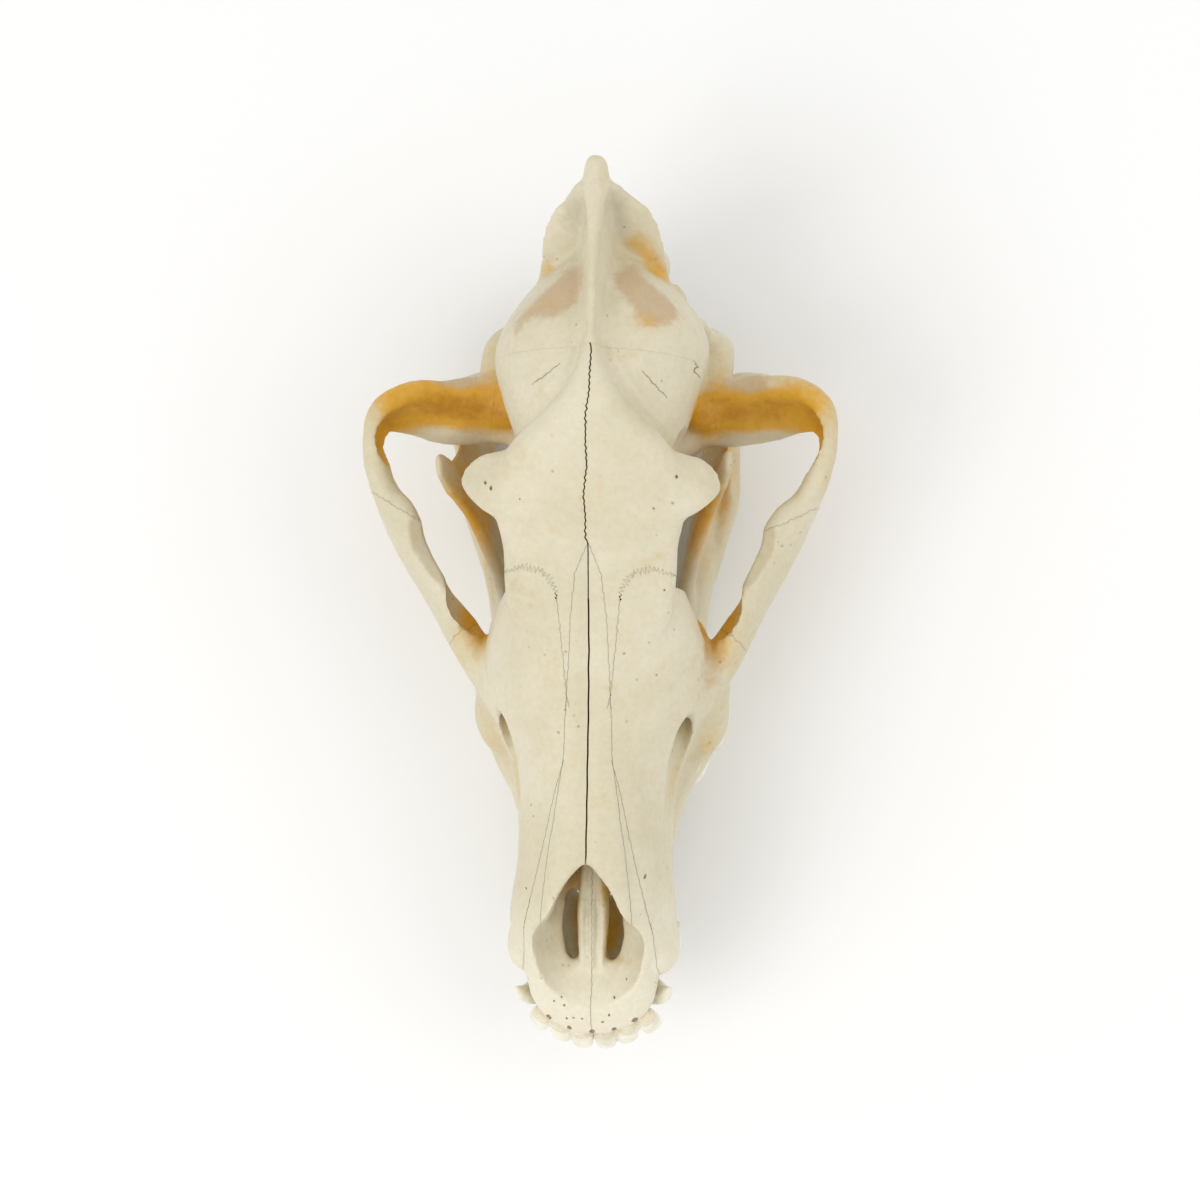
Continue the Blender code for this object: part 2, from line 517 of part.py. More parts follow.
def side_openings():
    limb("cheek_canal", [(27.0, 66, 20.5, 2.4, 4.4, 0), (25.6, 74, 23.0, 3.0, 5.0, 0),
                         (25.6, 84, 24.5, 3.0, 4.8, 0), (27.2, 98, 25.5, 2.4, 4.0, 0),
                         (29, 116, 27, 3.0, 4.5, 0)])
    limb("palate_slit", [(6.0, 25, 8, 2.3, 10, 0), (7.0, 33, 8, 3.0, 10, 0), (6.4, 42, 8, 2.4, 10, 0)])
    ball("ear_hole", (33.0, 204.5, 19.5), (6.5, 3.6, 3.8), turn=(0, 12, 0))
    ball("orbit", (41.6, 143.0, 52.0), (19.2, 18.6, 18.5))
    ball("orbit_floor", (31.5, 137.5, 32.0), (13.0, 18.5, 11.0), turn=(0, 0, 22))
    ball("temple_hollow", (37.0, 170.0, 50.0), (16.5, 15.0, 20.0), turn=(0, 0, -12))
    ball("root_hollow", (50, 179, 40.4), (19, 13, 13))
    limb("joint_hollow", [(29, 192.8, 9.6, 7.0, 7.0, 0), (60, 192.8, 10.6, 7.0, 7.0, 0)])
    ball("nose_side", (31.5, 62.0, 34.0), (9.0, 36.0, 16.0), turn=(0, 20, 4))


def set_askew(obj):
    """Moves the arches and the rear a little to one side, as in the skull of the photograph."""
    co = np.empty(len(obj.data.vertices) * 3)
    obj.data.vertices.foreach_get("co", co)
    x, y, z = co.reshape(-1, 3).T
    outward = np.clip((np.abs(x) - 34.0) / 16.0, 0, 1)
    outward = outward * outward * (3 - 2 * outward)
    middle = np.exp(-((y - 146.0) / 28.0) ** 2)
    behind = np.clip((y - 165.0) / 25.0, 0, 1)
    rear = np.clip((y - 198.0) / 14.0, 0, 1) * np.clip((np.abs(x) - 5.0) / 6.0, 0, 1)
    moved = np.stack([x + outward * middle * ARCH_SHIFT + rear * REAR_SHIFT,
                      y + outward * behind * np.sign(x) * ARCH_STEP, z], axis=1)
    obj.data.vertices.foreach_set("co", moved.ravel())
    obj.data.update()


def build_cranium():
    """The whole upper skull as one closed skin, with its teeth and openings."""
    skull = gather("cranium", (snout, forehead, braincase, nape, skull_base),
                   (cheek, arch, brow_horn, nape_crest, neck_joint, base_parts))
    fuse(skull, VOXEL)
    soften(skull, 5)
    hollow = gather("hollow", (nostril, inner_nostril, brow_groove), (side_openings,))
    fuse(hollow, VOXEL)
    carve(hollow, gather("wall", (nose_wall,), ()))
    carve(skull, hollow)
    whole = join("cranium", (skull, gather("teeth", (), (upper_teeth,))))
    fuse(whole, VOXEL)
    soften(whole, 1)
    set_askew(whole)
    return whole


def build_jaw():
    jaw = gather("jaw", (chin,), (jaw_side,))
    fuse(jaw, VOXEL)
    soften(jaw, 5)
    carve(jaw, gather("hollow", (), (muscle_hollow,)))
    whole = join("jaw", (jaw, gather("teeth", (), (lower_teeth,))))
    fuse(whole, VOXEL)
    soften(whole, 1)
    return whole


def plate(name, outline, low, high, axis):
    """A flat slab: an outline in the plane across one axis, between two levels on that axis."""
    spare = [i for i in range(3) if i != axis]
    shape = bmesh.new()
    loops = []
    for level in (low, high):
        loop = []
        for a, b in outline:
            point = [0.0, 0.0, 0.0]
            point[spare[0]], point[spare[1]], point[axis] = a, b, level
            loop.append(shape.verts.new(point))
        loops.append(loop)
    count = len(outline)
    for i in range(count):
        j = (i + 1) % count
        shape.faces.new((loops[0][i], loops[0][j], loops[1][j], loops[1][i]))
    shape.faces.new(loops[0])
    shape.faces.new(reversed(loops[1]))
    bmesh.ops.recalc_face_normals(shape, faces=shape.faces)
    return add_object(name, shape)


def seam(name, path, low, high, axis=2):
    """A sheet as thin as a suture that follows a path across one axis."""
    points = [Vector(p) for p in path]
    sides = []
    for i, point in enumerate(points):
        ahead = (points[min(i + 1, len(points) - 1)] - points[max(i - 1, 0)]).normalized()
        sides.append(Vector((ahead.y, -ahead.x)) * SUTURE / 2)
    outline = [p + s for p, s in zip(points, sides)] + [p - s for p, s in zip(points, sides)][::-1]
    return plate(name, outline, low, high, axis)


# Levels and places of the sutures, in millimetres.
TOP = 130.0
BROW_FLOOR = 45.0
CROWN_Y = 199.0
PALATE_END = 128.0
SPEAR_FRONT = 86.0
SPUR_FLOOR = 31.0
NASAL_FLOOR = 36.0
FRONT_SHELF = 15.0
FRONT_BACK = 41.0
NASAL_EDGE = ((15.5, 20), (14.0, 31), (12.6, 45), (11.3, 55), (9.6, 65), (7.4, 83), (6.5, 99), (6.4, 101))
NASAL_END = ((6.55, 97), (6.5, 99), (5.3, 122), (3.8, 135), (0, 143.5),
             (-3.8, 135), (-5.3, 122), (-6.5, 99), (-6.55, 97))
BROW_EDGE = ((5.6, 97), (6.5, 101), (7.6, 112), (9.2, 128), (12, 134), (19.6, 137), (25, 135), (42, 131))
SPUR_EDGE = ((7.0, 82), (9.6, 73), (13.5, 55), (17, FRONT_BACK), (19.3, 32), (20.2, 22), (21.6, 15),
             (30, 10))
FRONT_EDGE = ((12.5, 42), (13, 34), (14, 24), (16.5, 18.5), (21.6, 15), (30, 11))
TEMPLE_EDGE = ((37, 174), (34.0, 188), (31.8, 203), (30.6, 212), (31.5, 222), (42, 226))


def middle_seams():
    plate("midline", ((-20, -60), (PALATE_END, -60), (PALATE_END, BROW_FLOOR), (CROWN_Y, BROW_FLOOR),
                      (CROWN_Y, TOP), (-20, TOP)), -SUTURE / 2, SUTURE / 2, 0)
    seam("crown", ((-120, CROWN_Y), (120, CROWN_Y)), BROW_FLOOR, TOP)
    seam("brow_floor", ((PALATE_END, BROW_FLOOR), (CROWN_Y, BROW_FLOOR)), -40, 40, 0)
    seam("spear_floor", ((SPEAR_FRONT, BROW_FLOOR), (PALATE_END, BROW_FLOOR)), -9.3, 9.3, 0)
    seam("spear_front", ((-9.3, SPEAR_FRONT), (9.3, SPEAR_FRONT)), 32, BROW_FLOOR + 0.1)
    seam("palate_end", ((-37, PALATE_END), (37, PALATE_END)), -30, BROW_FLOOR)
    seam("nasal_end", NASAL_END, BROW_FLOOR, TOP)


def side_seams():
    seam("nasal_edge", NASAL_EDGE, NASAL_FLOOR, TOP)
    plate("nasal_floor", ((7, 18), (15.8, 18), (14.1, 31), (12.7, 45), (11.4, 55), (9.7, 65),
          (8.6, 74), (7, 74)),
          NASAL_FLOOR - SUTURE / 2, NASAL_FLOOR + SUTURE / 2, 2)
    seam("brow_edge", BROW_EDGE, BROW_FLOOR, TOP)
    seam("spur", SPUR_EDGE[:5], SPUR_FLOOR, TOP)
    seam("spur_front", SPUR_EDGE[3:], FRONT_SHELF, TOP)
    seam("spur_floor", ((FRONT_BACK, SPUR_FLOOR), (83, SPUR_FLOOR)), 6.5, 17.5, 0)
    seam("front_back", ((0, FRONT_BACK), (17.2, FRONT_BACK)), FRONT_SHELF, SPUR_FLOOR)
    seam("front_palate", ((0, FRONT_BACK), (12.6, FRONT_BACK)), -40, FRONT_SHELF)
    seam("front_edge", FRONT_EDGE, -40, FRONT_SHELF)
    plate("front_shelf", ((12.4, FRONT_BACK + 0.1), (17.1, FRONT_BACK + 0.1), (19.4, 32), (20.3, 22),
          (21.7, 15),
                          (16.5, 18.4), (13.9, 24), (12.9, 34)), FRONT_SHELF - SUTURE / 2,
          FRONT_SHELF + SUTURE / 2, 2)
    seam("cheek", ((32.5, 128.0), (56, 108.5)), 2, 70)
    seam("arch_lap", ((45, 151.5), (54, 153.4), (60, 156.5), (69, 162), (78, 167)), 15, 60)
    seam("temple", TEMPLE_EDGE, -20, 42)


def part_along(obj, middle, sides):
    """Cuts an object along the sheets that the makers lay, one after another."""
    for sheet in split(gather("sheets", middle, sides)):
        carve(obj, sheet)


def split(obj):
    """Parts an object into one object for each loose piece of its mesh."""
    whole = bmesh.new()
    whole.from_mesh(obj.data)
    whole.verts.ensure_lookup_table()
    left = set(whole.verts)
    pieces = []
    while left:
        queue = [left.pop()]
        found = set(queue)
        while queue:
            for edge in queue.pop().link_edges:
                for vert in edge.verts:
                    if vert not in found:
                        found.add(vert)
                        queue.append(vert)
        left -= found
        piece = bmesh.new()
        place = {vert: piece.verts.new(vert.co) for vert in found}
        for face in {f for vert in found for f in vert.link_faces}:
            piece.faces.new([place[vert] for vert in face.verts])
        pieces.append(add_object("piece", piece))
    whole.free()
    bpy.data.objects.remove(obj)
    return pieces


# A point on each bone, to know its piece by.
MIDDLE_BONES = {"braincase": (0, 215, 89)}
PAIRED_BONES = {
    "frontal": (20, 155, 79), "nasal": (3, 70, 51), "maxilla": (24, 60, 20), "premaxilla": (8, 0, 5),
    "zygomatic": (58, 147, 36), "temporal": (68, 184, 44)}
PAIRED_JAWS = {"mandible": (25, 95, -30)}


def both_sides(points):
    named = {}
    for name, (x, y, z) in points.items():
        named[name + "_left"] = (x, y, z)
        named[name + "_right"] = (-x, y, z)
    return named


def name_pieces(pieces, points):
    """Gives each named point its nearest piece, the largest first, and removes the crumbs."""
    kept = []
    for name, point in points.items():
        def far(piece):
            return min((v.co - Vector(point)).length for v in piece.data.vertices)
        nearest = min((p for p in pieces if p not in kept), key=far)
        nearest.name = nearest.data.name = name
        kept.append(nearest)
    for piece in pieces:
        if piece not in kept:
            bpy.data.objects.remove(piece)
    return kept


def jaw_seam():
    plate("jaw_midline", ((-20, -80), (80, -80), (80, 60), (-20, 60)), -SUTURE / 2, SUTURE / 2, 0)


def move(obj, matrix):
    obj.data.transform(matrix)
    obj.data.update()


def at_rest():
    """From the skull's own axes to its stand on the table, still in millimetres."""
    return Matrix.Rotation(-REST_TILT, 4, "X") @ Matrix.Translation((0, -BELLY_Y, -BELLY_Z))


def turned_jaw():
    pivot = Matrix.Translation(JAW_PIVOT)
    return pivot @ Matrix.Rotation(JAW_TURN, 4, "Z") @ pivot.inverted()


def material(name, colour, roughness):
    made = bpy.data.materials.new(name)
    made.use_nodes = True
    surface = made.node_tree.nodes["Principled BSDF"]
    surface.inputs["Base Color"].default_value = (*colour, 1)
    surface.inputs["Roughness"].default_value = roughness
    return made


def main():
    clear_scene()
    cranium = build_cranium()
    thin_out(cranium, CRANIUM_TRIANGLES)
    part_along(cranium, (middle_seams,), (side_seams,))
    bones = name_pieces(split(cranium), MIDDLE_BONES | both_sides(PAIRED_BONES))

    jaw = build_jaw()
    thin_out(jaw, JAW_TRIANGLES)
    part_along(jaw, (jaw_seam,), ())
    move(jaw, turned_jaw())
    bones += name_pieces(split(jaw), both_sides(PAIRED_JAWS))

    for bone in bones:
        move(bone, at_rest())
    lowest = min(v.co.z for bone in bones for v in bone.data.vertices)
    table = lowest + FOOT_FLAT
    ends = [v.co.y for bone in bones for v in bone.data.vertices]
    ground = Matrix.Translation((0, -(min(ends) + max(ends)) / 2, -table))
    look = material("bone", BONE, 0.55)
    for bone in bones:
        move(bone, ground)
        if min(v.co.z for v in bone.data.vertices) < 0:
            carve(bone, plate("table", ((-300, -300), (300, -300), (300, 300), (-300, 300)), -50, 0, 2))
        move(bone, Matrix.Diagonal((MM, MM, MM, 1)))
        bone.data.materials.clear()
        bone.data.materials.append(look)


if __name__ == "__main__":
    main()
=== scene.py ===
"""A wolf's skull with its lower jaw in place, life size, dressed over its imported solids.

The bones are laid out in the skull's own axes, in millimetres: x to the animal's left, y from the front
of the upper jaw backwards, z up from the sockets of the upper teeth. They are fused into one skull,
parted along its sutures, stained where old bone stains, and last turned onto the table in metres.
"""

import json
import math

import bmesh
import bpy
import numpy as np
from bpy.props import FloatProperty, FloatVectorProperty, PointerProperty
from bpy.types import Operator, Panel, PropertyGroup
from mathutils import Matrix, Vector
from mathutils.bvhtree import BVHTree
from mathutils.kdtree import KDTree

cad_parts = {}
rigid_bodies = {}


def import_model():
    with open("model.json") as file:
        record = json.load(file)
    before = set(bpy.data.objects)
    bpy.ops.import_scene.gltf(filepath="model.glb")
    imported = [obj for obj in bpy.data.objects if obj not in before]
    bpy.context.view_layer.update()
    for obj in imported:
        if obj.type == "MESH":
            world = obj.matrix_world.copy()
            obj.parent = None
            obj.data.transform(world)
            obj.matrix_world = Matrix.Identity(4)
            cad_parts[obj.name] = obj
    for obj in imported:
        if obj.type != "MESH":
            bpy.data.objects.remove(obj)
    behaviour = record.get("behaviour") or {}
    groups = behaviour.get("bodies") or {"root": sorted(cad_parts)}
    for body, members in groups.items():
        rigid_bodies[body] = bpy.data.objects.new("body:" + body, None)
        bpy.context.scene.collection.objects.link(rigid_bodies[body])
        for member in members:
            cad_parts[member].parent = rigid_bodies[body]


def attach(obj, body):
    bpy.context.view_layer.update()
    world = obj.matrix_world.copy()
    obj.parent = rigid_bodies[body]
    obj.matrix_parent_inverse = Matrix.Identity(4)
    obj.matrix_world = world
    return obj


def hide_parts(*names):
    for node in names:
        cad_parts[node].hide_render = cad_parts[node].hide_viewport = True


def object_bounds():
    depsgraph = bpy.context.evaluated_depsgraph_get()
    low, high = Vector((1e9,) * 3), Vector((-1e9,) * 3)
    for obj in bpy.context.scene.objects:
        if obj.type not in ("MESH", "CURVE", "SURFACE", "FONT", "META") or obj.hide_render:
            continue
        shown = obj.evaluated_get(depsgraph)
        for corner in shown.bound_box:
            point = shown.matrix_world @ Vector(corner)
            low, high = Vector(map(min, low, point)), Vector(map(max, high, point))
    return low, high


bl_info = {
    "name": "Wolf Skull",
    "version": (1, 0, 0),
    "blender": (4, 5, 0),
    "location": "View3D > Sidebar > Wolf Skull",
    "description": "Builds a life-size wolf skull, bone by bone, with its teeth",
    "category": "Add Mesh",
}

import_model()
CAD_BOX = [list(corner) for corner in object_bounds()]

MM = 0.001

# Driving dimensions of the whole skull, in millimetres.
SKULL_LENGTH = 255.0
CREST_Z = 89.0
BELLY_Y = 112.0
BELLY_Z = -38.0
REST_TILT = math.radians(6.0)
# Where the CAD's own ground lies, from the belly's place on the table.
GROUND_Y = -20.86175
GROUND_Z = 0.8554
JAW_TURN = math.radians(1.65)
JAW_PIVOT = (0.0, 10.0, 0.0)
ARCH_SHIFT = -1.9
ARCH_STEP = 1.5
REAR_SHIFT = 1.1


def add_object(name, shape):
    """Links a bmesh to the scene as a named object."""
    mesh = bpy.data.meshes.new(name)
    shape.to_mesh(mesh)
    shape.free()
    obj = bpy.data.objects.new(name, mesh)
    bpy.context.scene.collection.objects.link(obj)
    return obj


def between(rows, steps, spaced_by=3):
    """The rows, with smooth rows set between them. Distances are those of the first few columns."""
    points = np.array(rows, float)
    gaps = np.linalg.norm(np.diff(points[:, :spaced_by], axis=0), axis=1)
    at = np.concatenate([[0.0], np.cumsum(gaps)])
    slope = np.gradient(points, at, axis=0)
    made = []
    for i, span in enumerate(gaps):
        for t in np.arange(steps) / steps:
            made.append((2 * t**3 - 3 * t**2 + 1) * points[i] + (t**3 - 2 * t**2 + t) * span * slope[i]
                        + (3 * t**2 - 2 * t**3) * points[i + 1] + (t**3 - t**2) * span * slope[i + 1])
    return made + [points[-1]]


def ring(centre, side, up, down, power, count):
    """One closed section: an oval, squarer where the power is over 2 and sharper where it is under."""
    made = []
    for k in range(count):
        turn = 2 * math.pi * k / count
        c, s = math.cos(turn), math.sin(turn)
        across = math.copysign(abs(c) ** (2 / power), c)
        along = abs(s) ** (2 / power)
        made.append(centre + side * across + (up if s > 0 else down) * along)
    return made


def skin(name, rings):
    """A closed form stretched over its sections."""
    shape = bmesh.new()
    loops = [[shape.verts.new(p) for p in points] for points in rings]
    for near, far in zip(loops, loops[1:]):
        for i in range(len(near)):
            j = (i + 1) % len(near)
            shape.faces.new((near[i], near[j], far[j], far[i]))
    shape.faces.new(loops[0])
    shape.faces.new(reversed(loops[-1]))
    bmesh.ops.recalc_face_normals(shape, faces=shape.faces)
    return add_object(name, shape)


def trunk(name, rows, power=2.0, steps=4, count=40):
    """A form along y. Each row is (y, half width, lowest z, z of the widest level, highest z)."""
    rings = []
    for y, half, low, wide, high in between(rows, steps, 1):
        rings.append(ring(Vector((0, y, wide)), Vector((max(half, 0.2), 0, 0)),
                          Vector((0, 0, max(high - wide, 0.2))), Vector((0, 0, min(low - wide, -0.2))),
                          power, count))
    return skin(name, rings)


def limb(name, rows, power=2.0, steps=4, count=20, away_from=None):
    """A form along a path. Each row is (x, y, z, half thickness, half height, lean in degrees).
    Its height stands as near upright as the path allows, or points away from a given centre."""
    fine = between(rows, steps)
    path = [Vector(row[:3]) for row in fine]
    body = []
    for i, row in enumerate(fine):
        ahead = (path[min(i + 1, len(path) - 1)] - path[max(i - 1, 0)]).normalized()
        aim = path[i] - Vector(away_from) if away_from else Vector((0, 0, 1))
        side = ahead.cross(aim).normalized()
        up = side.cross(ahead).normalized()
        turn = Matrix.Rotation(math.radians(row[5]), 3, ahead)
        body.append((path[i], turn @ side * max(row[3], 0.2), turn @ up * max(row[4], 0.2), ahead))
    for end, sign in ((0, -1), (-1, 1)):
        centre, side, up, ahead = body[end]
        reach = sign * min(side.length, up.length)
        caps = [(centre + ahead * reach * math.sin(a), side * math.cos(a), up * math.cos(a), ahead)
                for a in map(math.radians, (35, 62, 83))]
        body = caps[::-1] + body if sign < 0 else body + caps
    return skin(name, [ring(c, side, up, -up, power, count) for c, side, up, _ in body])


def blade(name, rows, steps=4, count=32):
    """An upright plate. Each row is (z, front y, back y, x in front, x behind, half thickness)."""
    rings = []
    for z, front, back, x_front, x_back, half in between(rows, steps, 1):
        reach = Vector((x_back - x_front, back - front, 0)) / 2
        wide = Vector((reach.y, -reach.x, 0)).normalized() * max(half, 0.2)
        centre = Vector(((x_front + x_back) / 2, (front + back) / 2, z))
        rings.append(ring(centre, reach, wide, -wide, 2.6, count))
    return skin(name, rings)


def ball(name, centre, radii, turn=(0, 0, 0), count=28):
    """An egg shape. turn is in degrees about x, then y, then z."""
    shape = bmesh.new()
    bmesh.ops.create_uvsphere(shape, u_segments=count, v_segments=count // 2, radius=1)
    rotation = Matrix.Identity(4)
    for axis, degrees in zip("XYZ", turn):
        rotation = Matrix.Rotation(math.radians(degrees), 4, axis) @ rotation
    placed = Matrix.Translation(centre) @ rotation @ Matrix.Diagonal((*radii, 1))
    bmesh.ops.transform(shape, verts=shape.verts, matrix=placed)
    return add_object(name, shape)


def tooth(name, rows, bearing, count=12):
    """A crown with its root. Each row is (z, x, y, half length along the tooth row, half width)."""
    along = Vector((math.sin(math.radians(bearing)), math.cos(math.radians(bearing)), 0))
    across = Vector((along.y, -along.x, 0))
    rings = []
    for z, x, y, length, width in between(rows, 3, 1):
        rings.append(ring(Vector((x, y, z)), along * max(length, 0.2), across * max(width, 0.2),
                          across * min(-width, -0.2), 2.2, count))
    return skin(name, rings)


# Outlines of a crown: how far up it, and what share of its half length and half width it has there.
POINTED = ((0.0, 0.9, 0.8), (0.22, 1.0, 1.0), (0.62, 0.62, 0.66), (0.9, 0.26, 0.3), (1.0, 0.1, 0.12))
CUTTING = ((0.0, 0.86, 0.95), (0.3, 1.0, 1.0), (0.7, 0.98, 0.74), (0.93, 0.8, 0.44), (1.0, 0.5, 0.26))


def cusp(name, foot, tip, half_length, half_width, bearing, profile=POINTED, root=7.0):
    """One cone of a tooth: from its root in the bone, over its neck, to its point."""
    foot, tip = Vector(foot), Vector(tip)
    sign = math.copysign(1, tip.z - foot.z)
    rows = [(foot.z - sign * root, foot.x, foot.y, half_length * 0.6, half_width * 0.6)]
    for share, length, width in profile:
        at = foot.lerp(tip, share)
        rows.append((at.z, at.x, at.y, half_length * length, half_width * width))
    return tooth(name, rows, bearing)


def snout():
    """The upper jaw's long box, from the front teeth to the face below the eyes."""
    trunk("snout", [
        (0, 5.0, 1, 4.5, 7.2), (2.2, 10.8, 0.5, 5, 9.5), (5.7, 15.6, 0, 6, 12.8),
        (10.5, 18.8, 0, 7, 16.8), (16, 20.2, 0, 9, 25.5), (21, 20.5, 0, 10, 32.8), (27, 23.6, 0, 10, 38),
        (34, 25.2, 0, 11, 44.5), (50, 24.0, 0, 12, 49), (68, 23.7, 1, 13, 51.5), (80, 25.5, 1, 13, 53.2),
        (90, 29.5, 2, 13, 55), (102, 34.0, 3, 16, 58), (114, 35.0, 4, 20, 61.5), (124, 32.5, 9, 25, 66),
        (134, 27.0, 16, 34, 71)], power=2.25)
    trunk("nasal_roof", [
        (33, 14.0, 30, 40, 45), (50, 13.0, 34, 42, 49.6), (75, 11.5, 36, 44, 52.5),
        (100, 12, 38, 46, 57.2), (125, 16, 40, 50, 65.3), (140, 19, 44, 58, 72.3)], power=2.8)


def cheek():
    """One side's outer wall over the great cheek teeth, and the root of its arch."""
    ball("canine_swell", (20.2, 27.5, 10.0), (6.3, 8.5, 13.5), turn=(14, 0, 0))
    ball("cheek_swell", (31.0, 97.5, 6.5), (8.6, 13.0, 9.0), turn=(0, 0, -12))
    ball("tooth_swell", (31.0, 108.0, 5.0), (9.0, 13.0, 6.0), turn=(0, 0, 8))
    limb("socket_rim", [(16.5, 18, 3, 4.0, 3.2, 0), (19.6, 40, 3, 4.2, 3.6, 0),
                        (19.8, 58, 3, 3.8, 3.6, 0), (22.4, 72, 3.5, 4.2, 4, 0), (29.5, 90, 4, 6, 4.4, 0),
                        (29.5, 114, 5, 7, 4.2, 0)])


def arch():
    """One cheek arch: an upright strap in front that lies back as a shelf where it joins the skull."""
    limb("arch", [
        (28, 100, 18, 6.0, 12.0, 0), (35.5, 111, 20.0, 5.8, 12.2, 0), (42.0, 122, 23.5, 5.2, 11.0, -6),
        (49.4, 134.5, 27.0, 3.4, 9.8, -20), (56.2, 147, 31.2, 3.4, 9.6, -24),
        (62.4, 159, 35.0, 4.0, 7.2, -16), (66.6, 169, 38.3, 3.8, 6.6, -4),
        (67.4, 179, 40.0, 4.3, 6.6, 12), (65.4, 187.0, 38.6, 4.4, 7.6, 32),
        (59.0, 190.4, 34.6, 3.8, 9.8, 44), (50.0, 190.0, 30.4, 3.6, 11.4, 50),
        (40.0, 190.0, 28.4, 4.0, 12.2, 50), (28.0, 191.5, 27.0, 5.5, 11.5, 48)], power=2.3)
    limb("eye_spur", [(61.2, 161.5, 38.4, 2.6, 3.0, 0), (57.0, 156.4, 40.0, 3.3, 3.2, 0),
                      (54.4, 152.6, 40.0, 2.8, 3.6, 0), (53.2, 147.0, 37.0, 2.5, 4.4, 0)])
    limb("joint_roof", [(26, 190.6, 23.0, 11.0, 5.5, 0), (44, 190.8, 22.8, 9.6, 4.8, 0),
                        (54, 190.2, 25.0, 8.0, 4.2, 0)], power=2.6)
    limb("jaw_stop", [(34, 201.5, 18, 3.2, 4.8, 0), (42, 201.4, 16.5, 2.8, 5.6, 0),
                      (50, 199.8, 19, 2.4, 4.4, 0)])
    limb("ear_ridge", [(30, 190, 29, 7.0, 6.0, 0), (32.4, 201, 29.5, 6.6, 5.6, 0),
                       (33.0, 209.0, 28.5, 5.6, 4.6, 0), (29.6, 212.5, 25, 5.2, 4.6, 0)])


def forehead():
    """The brow plate: narrow between the eyes, wide at the brow horns, then drawn in to the crest."""
    trunk("forehead", [
        (112, 18, 40, 50, 60.5), (124, 24, 44, 58, 66), (135, 25, 50, 64, 71.5),
        (143, 25.6, 54, 68, 75.5), (155, 28, 58, 71.5, 80.5), (166, 26.5, 60, 73.5, 84),
        (174, 21, 62, 76, 86.2), (182, 12, 66, 79, 87.5), (192, 5, 68, 80, 88),
        (202, 2.4, 70, 80, 88.6)], power=2.6)
    trunk("brow_core", [
        (108, 15, 14, 36, 55), (125, 15, 16, 44, 62), (143, 14.5, 18, 56, 72), (160, 16, 20, 60, 80),
        (176, 21, 22, 56, 82)], power=2.2)


def brow_horn():
    """One side's horn of the brow, blunt and flat, over the back of the eye."""
    limb("brow_horn", [(16, 160, 74.5, 13, 5.5, 0), (25, 160.5, 73.2, 10.5, 4.6, 0),
                       (31.5, 162.0, 71.0, 7.6, 3.3, 0), (35.2, 163.0, 68.5, 5.0, 2.4, 0)], power=2.4)


def braincase():
    trunk("braincase", [
        (164, 17, 22, 48, 74), (173, 23.4, 21, 50, 81), (184, 27.2, 19, 50, 82.5),
        (196, 30.6, 17, 48, 82), (207, 31.8, 16, 46, 81), (218, 26.0, 16, 44, 77.5),
        (227, 18.5, 17, 42, 71), (235, 12.5, 18, 38, 64), (241, 8, 19, 34, 56)], power=2.1)
    trunk("crest", [
        (178, 12, 60, 76, 86.5), (192, 7.5, 60, 76, CREST_Z - 1), (206, 5.5, 60, 74, CREST_Z),
        (222, 5, 55, 72, CREST_Z), (238, 4.5, 52, 70, CREST_Z - 1), (248, 3.6, 58, 72, CREST_Z - 2.5),
        (SKULL_LENGTH - 1, 2.6, 70, 78, 86)], power=1.1)
    trunk("crest_edge", [
        (190, 1.4, 70, 84, CREST_Z - 0.8), (206, 1.3, 70, 84, CREST_Z), (225, 1.6, 70, 84, CREST_Z),
        (239, 2.7, 70, 82, CREST_Z - 1.2), (247, 3.8, 71, 81, CREST_Z - 2.4),
        (252, 3.3, 73, 80.5, CREST_Z - 3.4), (SKULL_LENGTH, 2.4, 75, 80, 84.6)], power=2.6)


def nape_crest():
    """One side's crest of the nape: from the back knob out and down to behind the ear."""
    limb("nape_crest", [
        (0.8, 245.5, 77, 2.6, 7.0, 0), (4.8, 241.0, 73.6, 2.3, 8.0, 0), (9.0, 235.6, 67.2, 2.0, 8.8, 0),
        (10.4, 228.6, 59.9, 2.0, 8.8, 0), (12.8, 221.0, 51.1, 2.0, 8.6, 0),
        (21.4, 215.8, 40.2, 2.2, 6.6, 0),
        (29.0, 211.5, 28, 2.8, 5.6, 0)], away_from=(0, 212, 42), power=1.7)
    ball("mastoid", (29.5, 211, 22), (5.5, 6.0, 8.0))
    limb("neck_horn", [(18, 224, 26, 3.5, 7, 0), (20.0, 226, 14, 2.6, 5, 0), (20.5, 227, 5, 1.6, 3, 0)],
         away_from=(0, 150, 15))


def nape():
    trunk("nape", [(218, 22, 14, 34, 68), (228, 15.5, 15, 34, 71), (236, 10, 17, 36, 76),
                   (243, 5.5, 22, 40, 80), (247, 3, 40, 52, 82)], power=1.7)
    trunk("neck_ring", [(222, 16, 10, 24, 44), (234, 15, 10, 24, 42), (241, 12, 12, 24, 40)], power=2.3)


def neck_joint():
    ball("neck_joint", (10.5, 236.5, 18.5), (6.6, 8.0, 9.5), turn=(20, 0, -24))


def skull_base():
    trunk("base", [(112, 13, 12, 22, 44), (128, 12, 15, 24, 46), (150, 11, 18, 28, 50),
                   (175, 14, 17, 30, 54), (200, 15, 14, 28, 50), (222, 13, 12, 24, 44),
                   (236, 10, 12, 20, 36)], power=2.3)


